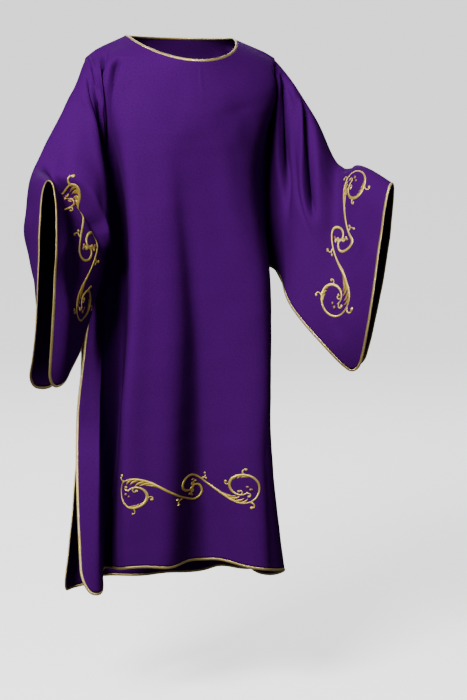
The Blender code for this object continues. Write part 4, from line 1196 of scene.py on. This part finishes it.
def line_on_cloth(name):
    """The drawing's line: where along the drawing, its places, and the step square to it for a metre.

    With e, f, g the products of the cloth's two slopes, the direction (-(f du + g dv), e du + f dv) is
    square to the step (du, dv) on the cloth itself, and its length there is found from e, f, g too.
    """
    rows, step = SCROLL_LINES[name], SLOPE_STEP
    places = spline_shares(np.linspace(-1, 1, len(rows)), np.linspace(-1, 1, LINE_PLACES)) @ np.array(rows)
    u, v = places.T
    by_u = (smooth_surface(name, u + step, v) - smooth_surface(name, u - step, v)) / (2 * step)
    by_v = (smooth_surface(name, u, v + step) - smooth_surface(name, u, v - step)) / (2 * step)
    du, dv = np.gradient(u), np.gradient(v)
    e, f, g = (by_u * by_u).sum(-1), (by_u * by_v).sum(-1), (by_v * by_v).sum(-1)
    p, q = -(f * du + g * dv), e * du + f * dv
    length = np.sqrt(e * p**2 + 2 * f * p * q + g * q**2)
    square = -SCROLL_TALL * np.stack([p, q], axis=-1) / length[:, None]
    return np.linspace(-SCROLL_REACH, SCROLL_REACH, LINE_PLACES), places, square


def laid(name, flat):
    """Places on the panel of points of the flat drawing."""
    run, places, square = line_on_cloth(name)
    at = np.stack([np.interp(flat[..., 0], run, column) for column in (*places.T, *square.T)], axis=-1)
    return at[..., :2] + at[..., 2:] * flat[..., 1:2]


print("scroll lines on", ", ".join(SCROLL_LINES))

# %% Sew the three scrolls
STRIP_SIDES, STRIP_SINK = 8, 0.0004
STRIP_CAP = np.array([[0, 7, 2, 1], [7, 6, 3, 2], [6, 5, 4, 3]])  # three quads fill an eight-sided ring


def sewn_strip(name, outer, flat, half, height):
    """Rings of a strip on its panel: half width times cosine, height times sine, and flat underneath."""
    turn = np.arange(STRIP_SIDES) * 2 * np.pi / STRIP_SIDES
    ahead = unit(np.gradient(flat, axis=0))
    beside = np.stack([-ahead[:, 1], ahead[:, 0]], axis=-1)
    places = laid(name, flat[:, None] + beside[:, None] * (half[:, None] * np.cos(turn))[..., None])
    lift = np.where(np.sin(turn) > 0.01, height[:, None] * np.sin(turn), -STRIP_SINK)
    base = grid_sample(name, outer, places[..., 0], places[..., 1])
    away = unit(grid_sample(name, walls[name], places[..., 0], places[..., 1]))
    return base + away * lift[..., None]


def strip_faces(rings, line):
    """A strip's quads and UVs with three quads over each end, turned over if they face inwards."""
    quads, uv = tube_quads(running_length(line), STRIP_SIDES, False)
    far_cap = STRIP_CAP[:, ::-1] + (len(line) - 1) * STRIP_SIDES
    quads = np.concatenate([quads, STRIP_CAP, far_cap])
    uv = np.concatenate([uv, np.zeros((2 * len(STRIP_CAP), 4, 2))])
    start, across = rings[0, 0], rings[0, 2] - rings[0, 0]
    if np.dot(np.cross(rings[1, 0] - start, across), start - rings[0, STRIP_SIDES // 2]) > 0:
        quads, uv = quads[:, ::-1], uv[:, ::-1]
    return quads, uv


def add_scroll(name, piece_name):
    """All strips of both halves as closed domes on one panel."""
    outer = cloths[name][0] + walls[name] * CLOTH / 2
    points, faces, uvs, kinds, first = [], [], [], [], 0
    for half_turn in (1, -1):
        for line, half, height, thread in strips:
            rings = sewn_strip(name, outer, line * half_turn, half, height)
            quads, uv = strip_faces(rings, line)
            points.append(rings.reshape(-1, 3))
            faces.append(quads + first)
            uvs.append(uv)
            kinds.append(np.full(len(quads), thread))
            first += len(points[-1])
    return add_mesh(piece_name, *(np.concatenate(part) for part in (points, faces, uvs)), threads,
                    np.concatenate(kinds))


SCROLL = {"front": "hem_scroll", "sleeve_left": "left_sleeve_scroll", "sleeve_right": "right_sleeve_scroll"}
scrolls = {name: add_scroll(name, piece_name) for name, piece_name in SCROLL.items()}
for scroll in scrolls.values():
    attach(scroll, "root")
    print(scroll.name, len(scroll.data.polygons) * 2, "triangles")

# %% [markdown]
# ## Studio
#
# The garment stands before plain pale ground. One soft lamp, high in front and to the garment's right,
# makes the folds read. A faint one fills the other side, a third lights the back, and the room is dim,
# so that deep folds stay dark. The floor has a glow of its own and throws no light back, which keeps it
# pale right to the horizon without lighting the folds from below.

# %% Floor and lights
FLOOR_Z, FLOOR_HALF, FLOOR_GLOW = -1.62, 60.0, 1.45
ROOM, ROOM_SEEN = 0.10, 1.53
CHEST_PLACE = (0.0, 0.0, -0.35)
LAMPS = (
    # name, turn and height in degrees, distance, size, power
    ("key_lamp", -42, 32, 4.6, 1.4, 520),
    ("fill_lamp", 40, 20, 4.5, 2.5, 12),
    ("back_lamp", 165, 30, 4.5, 2.5, 110),
)


def add_floor():
    """One large square at floor level, so wide that its end lies at the horizon."""
    corners = np.array([[-1, -1, 0], [1, -1, 0], [1, 1, 0], [-1, 1, 0]]) * FLOOR_HALF + [0, 0, FLOOR_Z]
    material, wire, feed = new_material("pale_floor", {
        "Roughness": 0.9, "Specular IOR Level": 0.0,
        "Emission Color": (1, 1, 1, 1), "Emission Strength": FLOOR_GLOW,
    })
    place = wire.node("ShaderNodeTexCoord", {}, {}, "Object")
    feed(Base_Color=wire.noise(place, 0.8).mixed((0.84, 0.84, 0.84), (0.87, 0.87, 0.87)))
    floor = add_mesh("floor", corners, np.array([[0, 1, 2, 3]]), corners[:, :2], [material])
    floor.visible_diffuse = floor.visible_glossy = False


def add_lamp(name, turn, height, distance, size, power):
    """A square lamp that looks at the chest, turned 0 in front and -90 at the garment's right."""
    lamp = bpy.data.lights.new(name, "AREA")
    lamp.shape, lamp.size, lamp.energy = "SQUARE", size, power
    thing = bpy.data.objects.new(name, lamp)
    a, e = math.radians(turn), math.radians(height)
    away = np.array([math.sin(a) * math.cos(e), -math.cos(a) * math.cos(e), math.sin(e)])
    thing.location = np.array(CHEST_PLACE) + away * distance
    thing.rotation_euler = (math.radians(90 - height), 0, a)
    bpy.context.scene.collection.objects.link(thing)


add_floor()
for row in LAMPS:
    add_lamp(*row)
world = bpy.data.worlds.new("dim_room")
world.use_nodes = True
room = Wire(world.node_tree)
seen = room.node("ShaderNodeLightPath", {}, {}, "Is Camera Ray")
background = world.node_tree.nodes["Background"]
background.inputs["Color"].default_value = (1, 1, 1, 1)
world.node_tree.links.new((seen * (ROOM_SEEN - ROOM) + ROOM).socket, background.inputs["Strength"])
bpy.context.scene.world = world
print("floor at", FLOOR_Z, "and", len(LAMPS), "lamps")

# %% [markdown]
# ## What each panel was cut from
#
# Each panel is a sheet of cloth, so its cut is stated: its width and length laid flat, and its area,
# all measured along the cloth's own grid.

# %% State the cut
def cloth_area(surface):
    """Area of a grid: half the cross product of each quad's two diagonals."""
    one, other = surface[1:, 1:] - surface[:-1, :-1], surface[1:, :-1] - surface[:-1, 1:]
    return float(np.linalg.norm(np.cross(one, other), axis=-1).sum() / 2)


for name, (surface, u, v) in cloths.items():
    x, y = cloth_distance(surface)
    width, length, area = float(np.ptp(x, axis=1).max()), float(y.max()), cloth_area(surface)
    print(name, "cut", round(width, 3), "by", round(length, 3), "m, area", round(area, 3))
    [sewn[name] for sewn in (bindings, scrolls) if name in sewn]
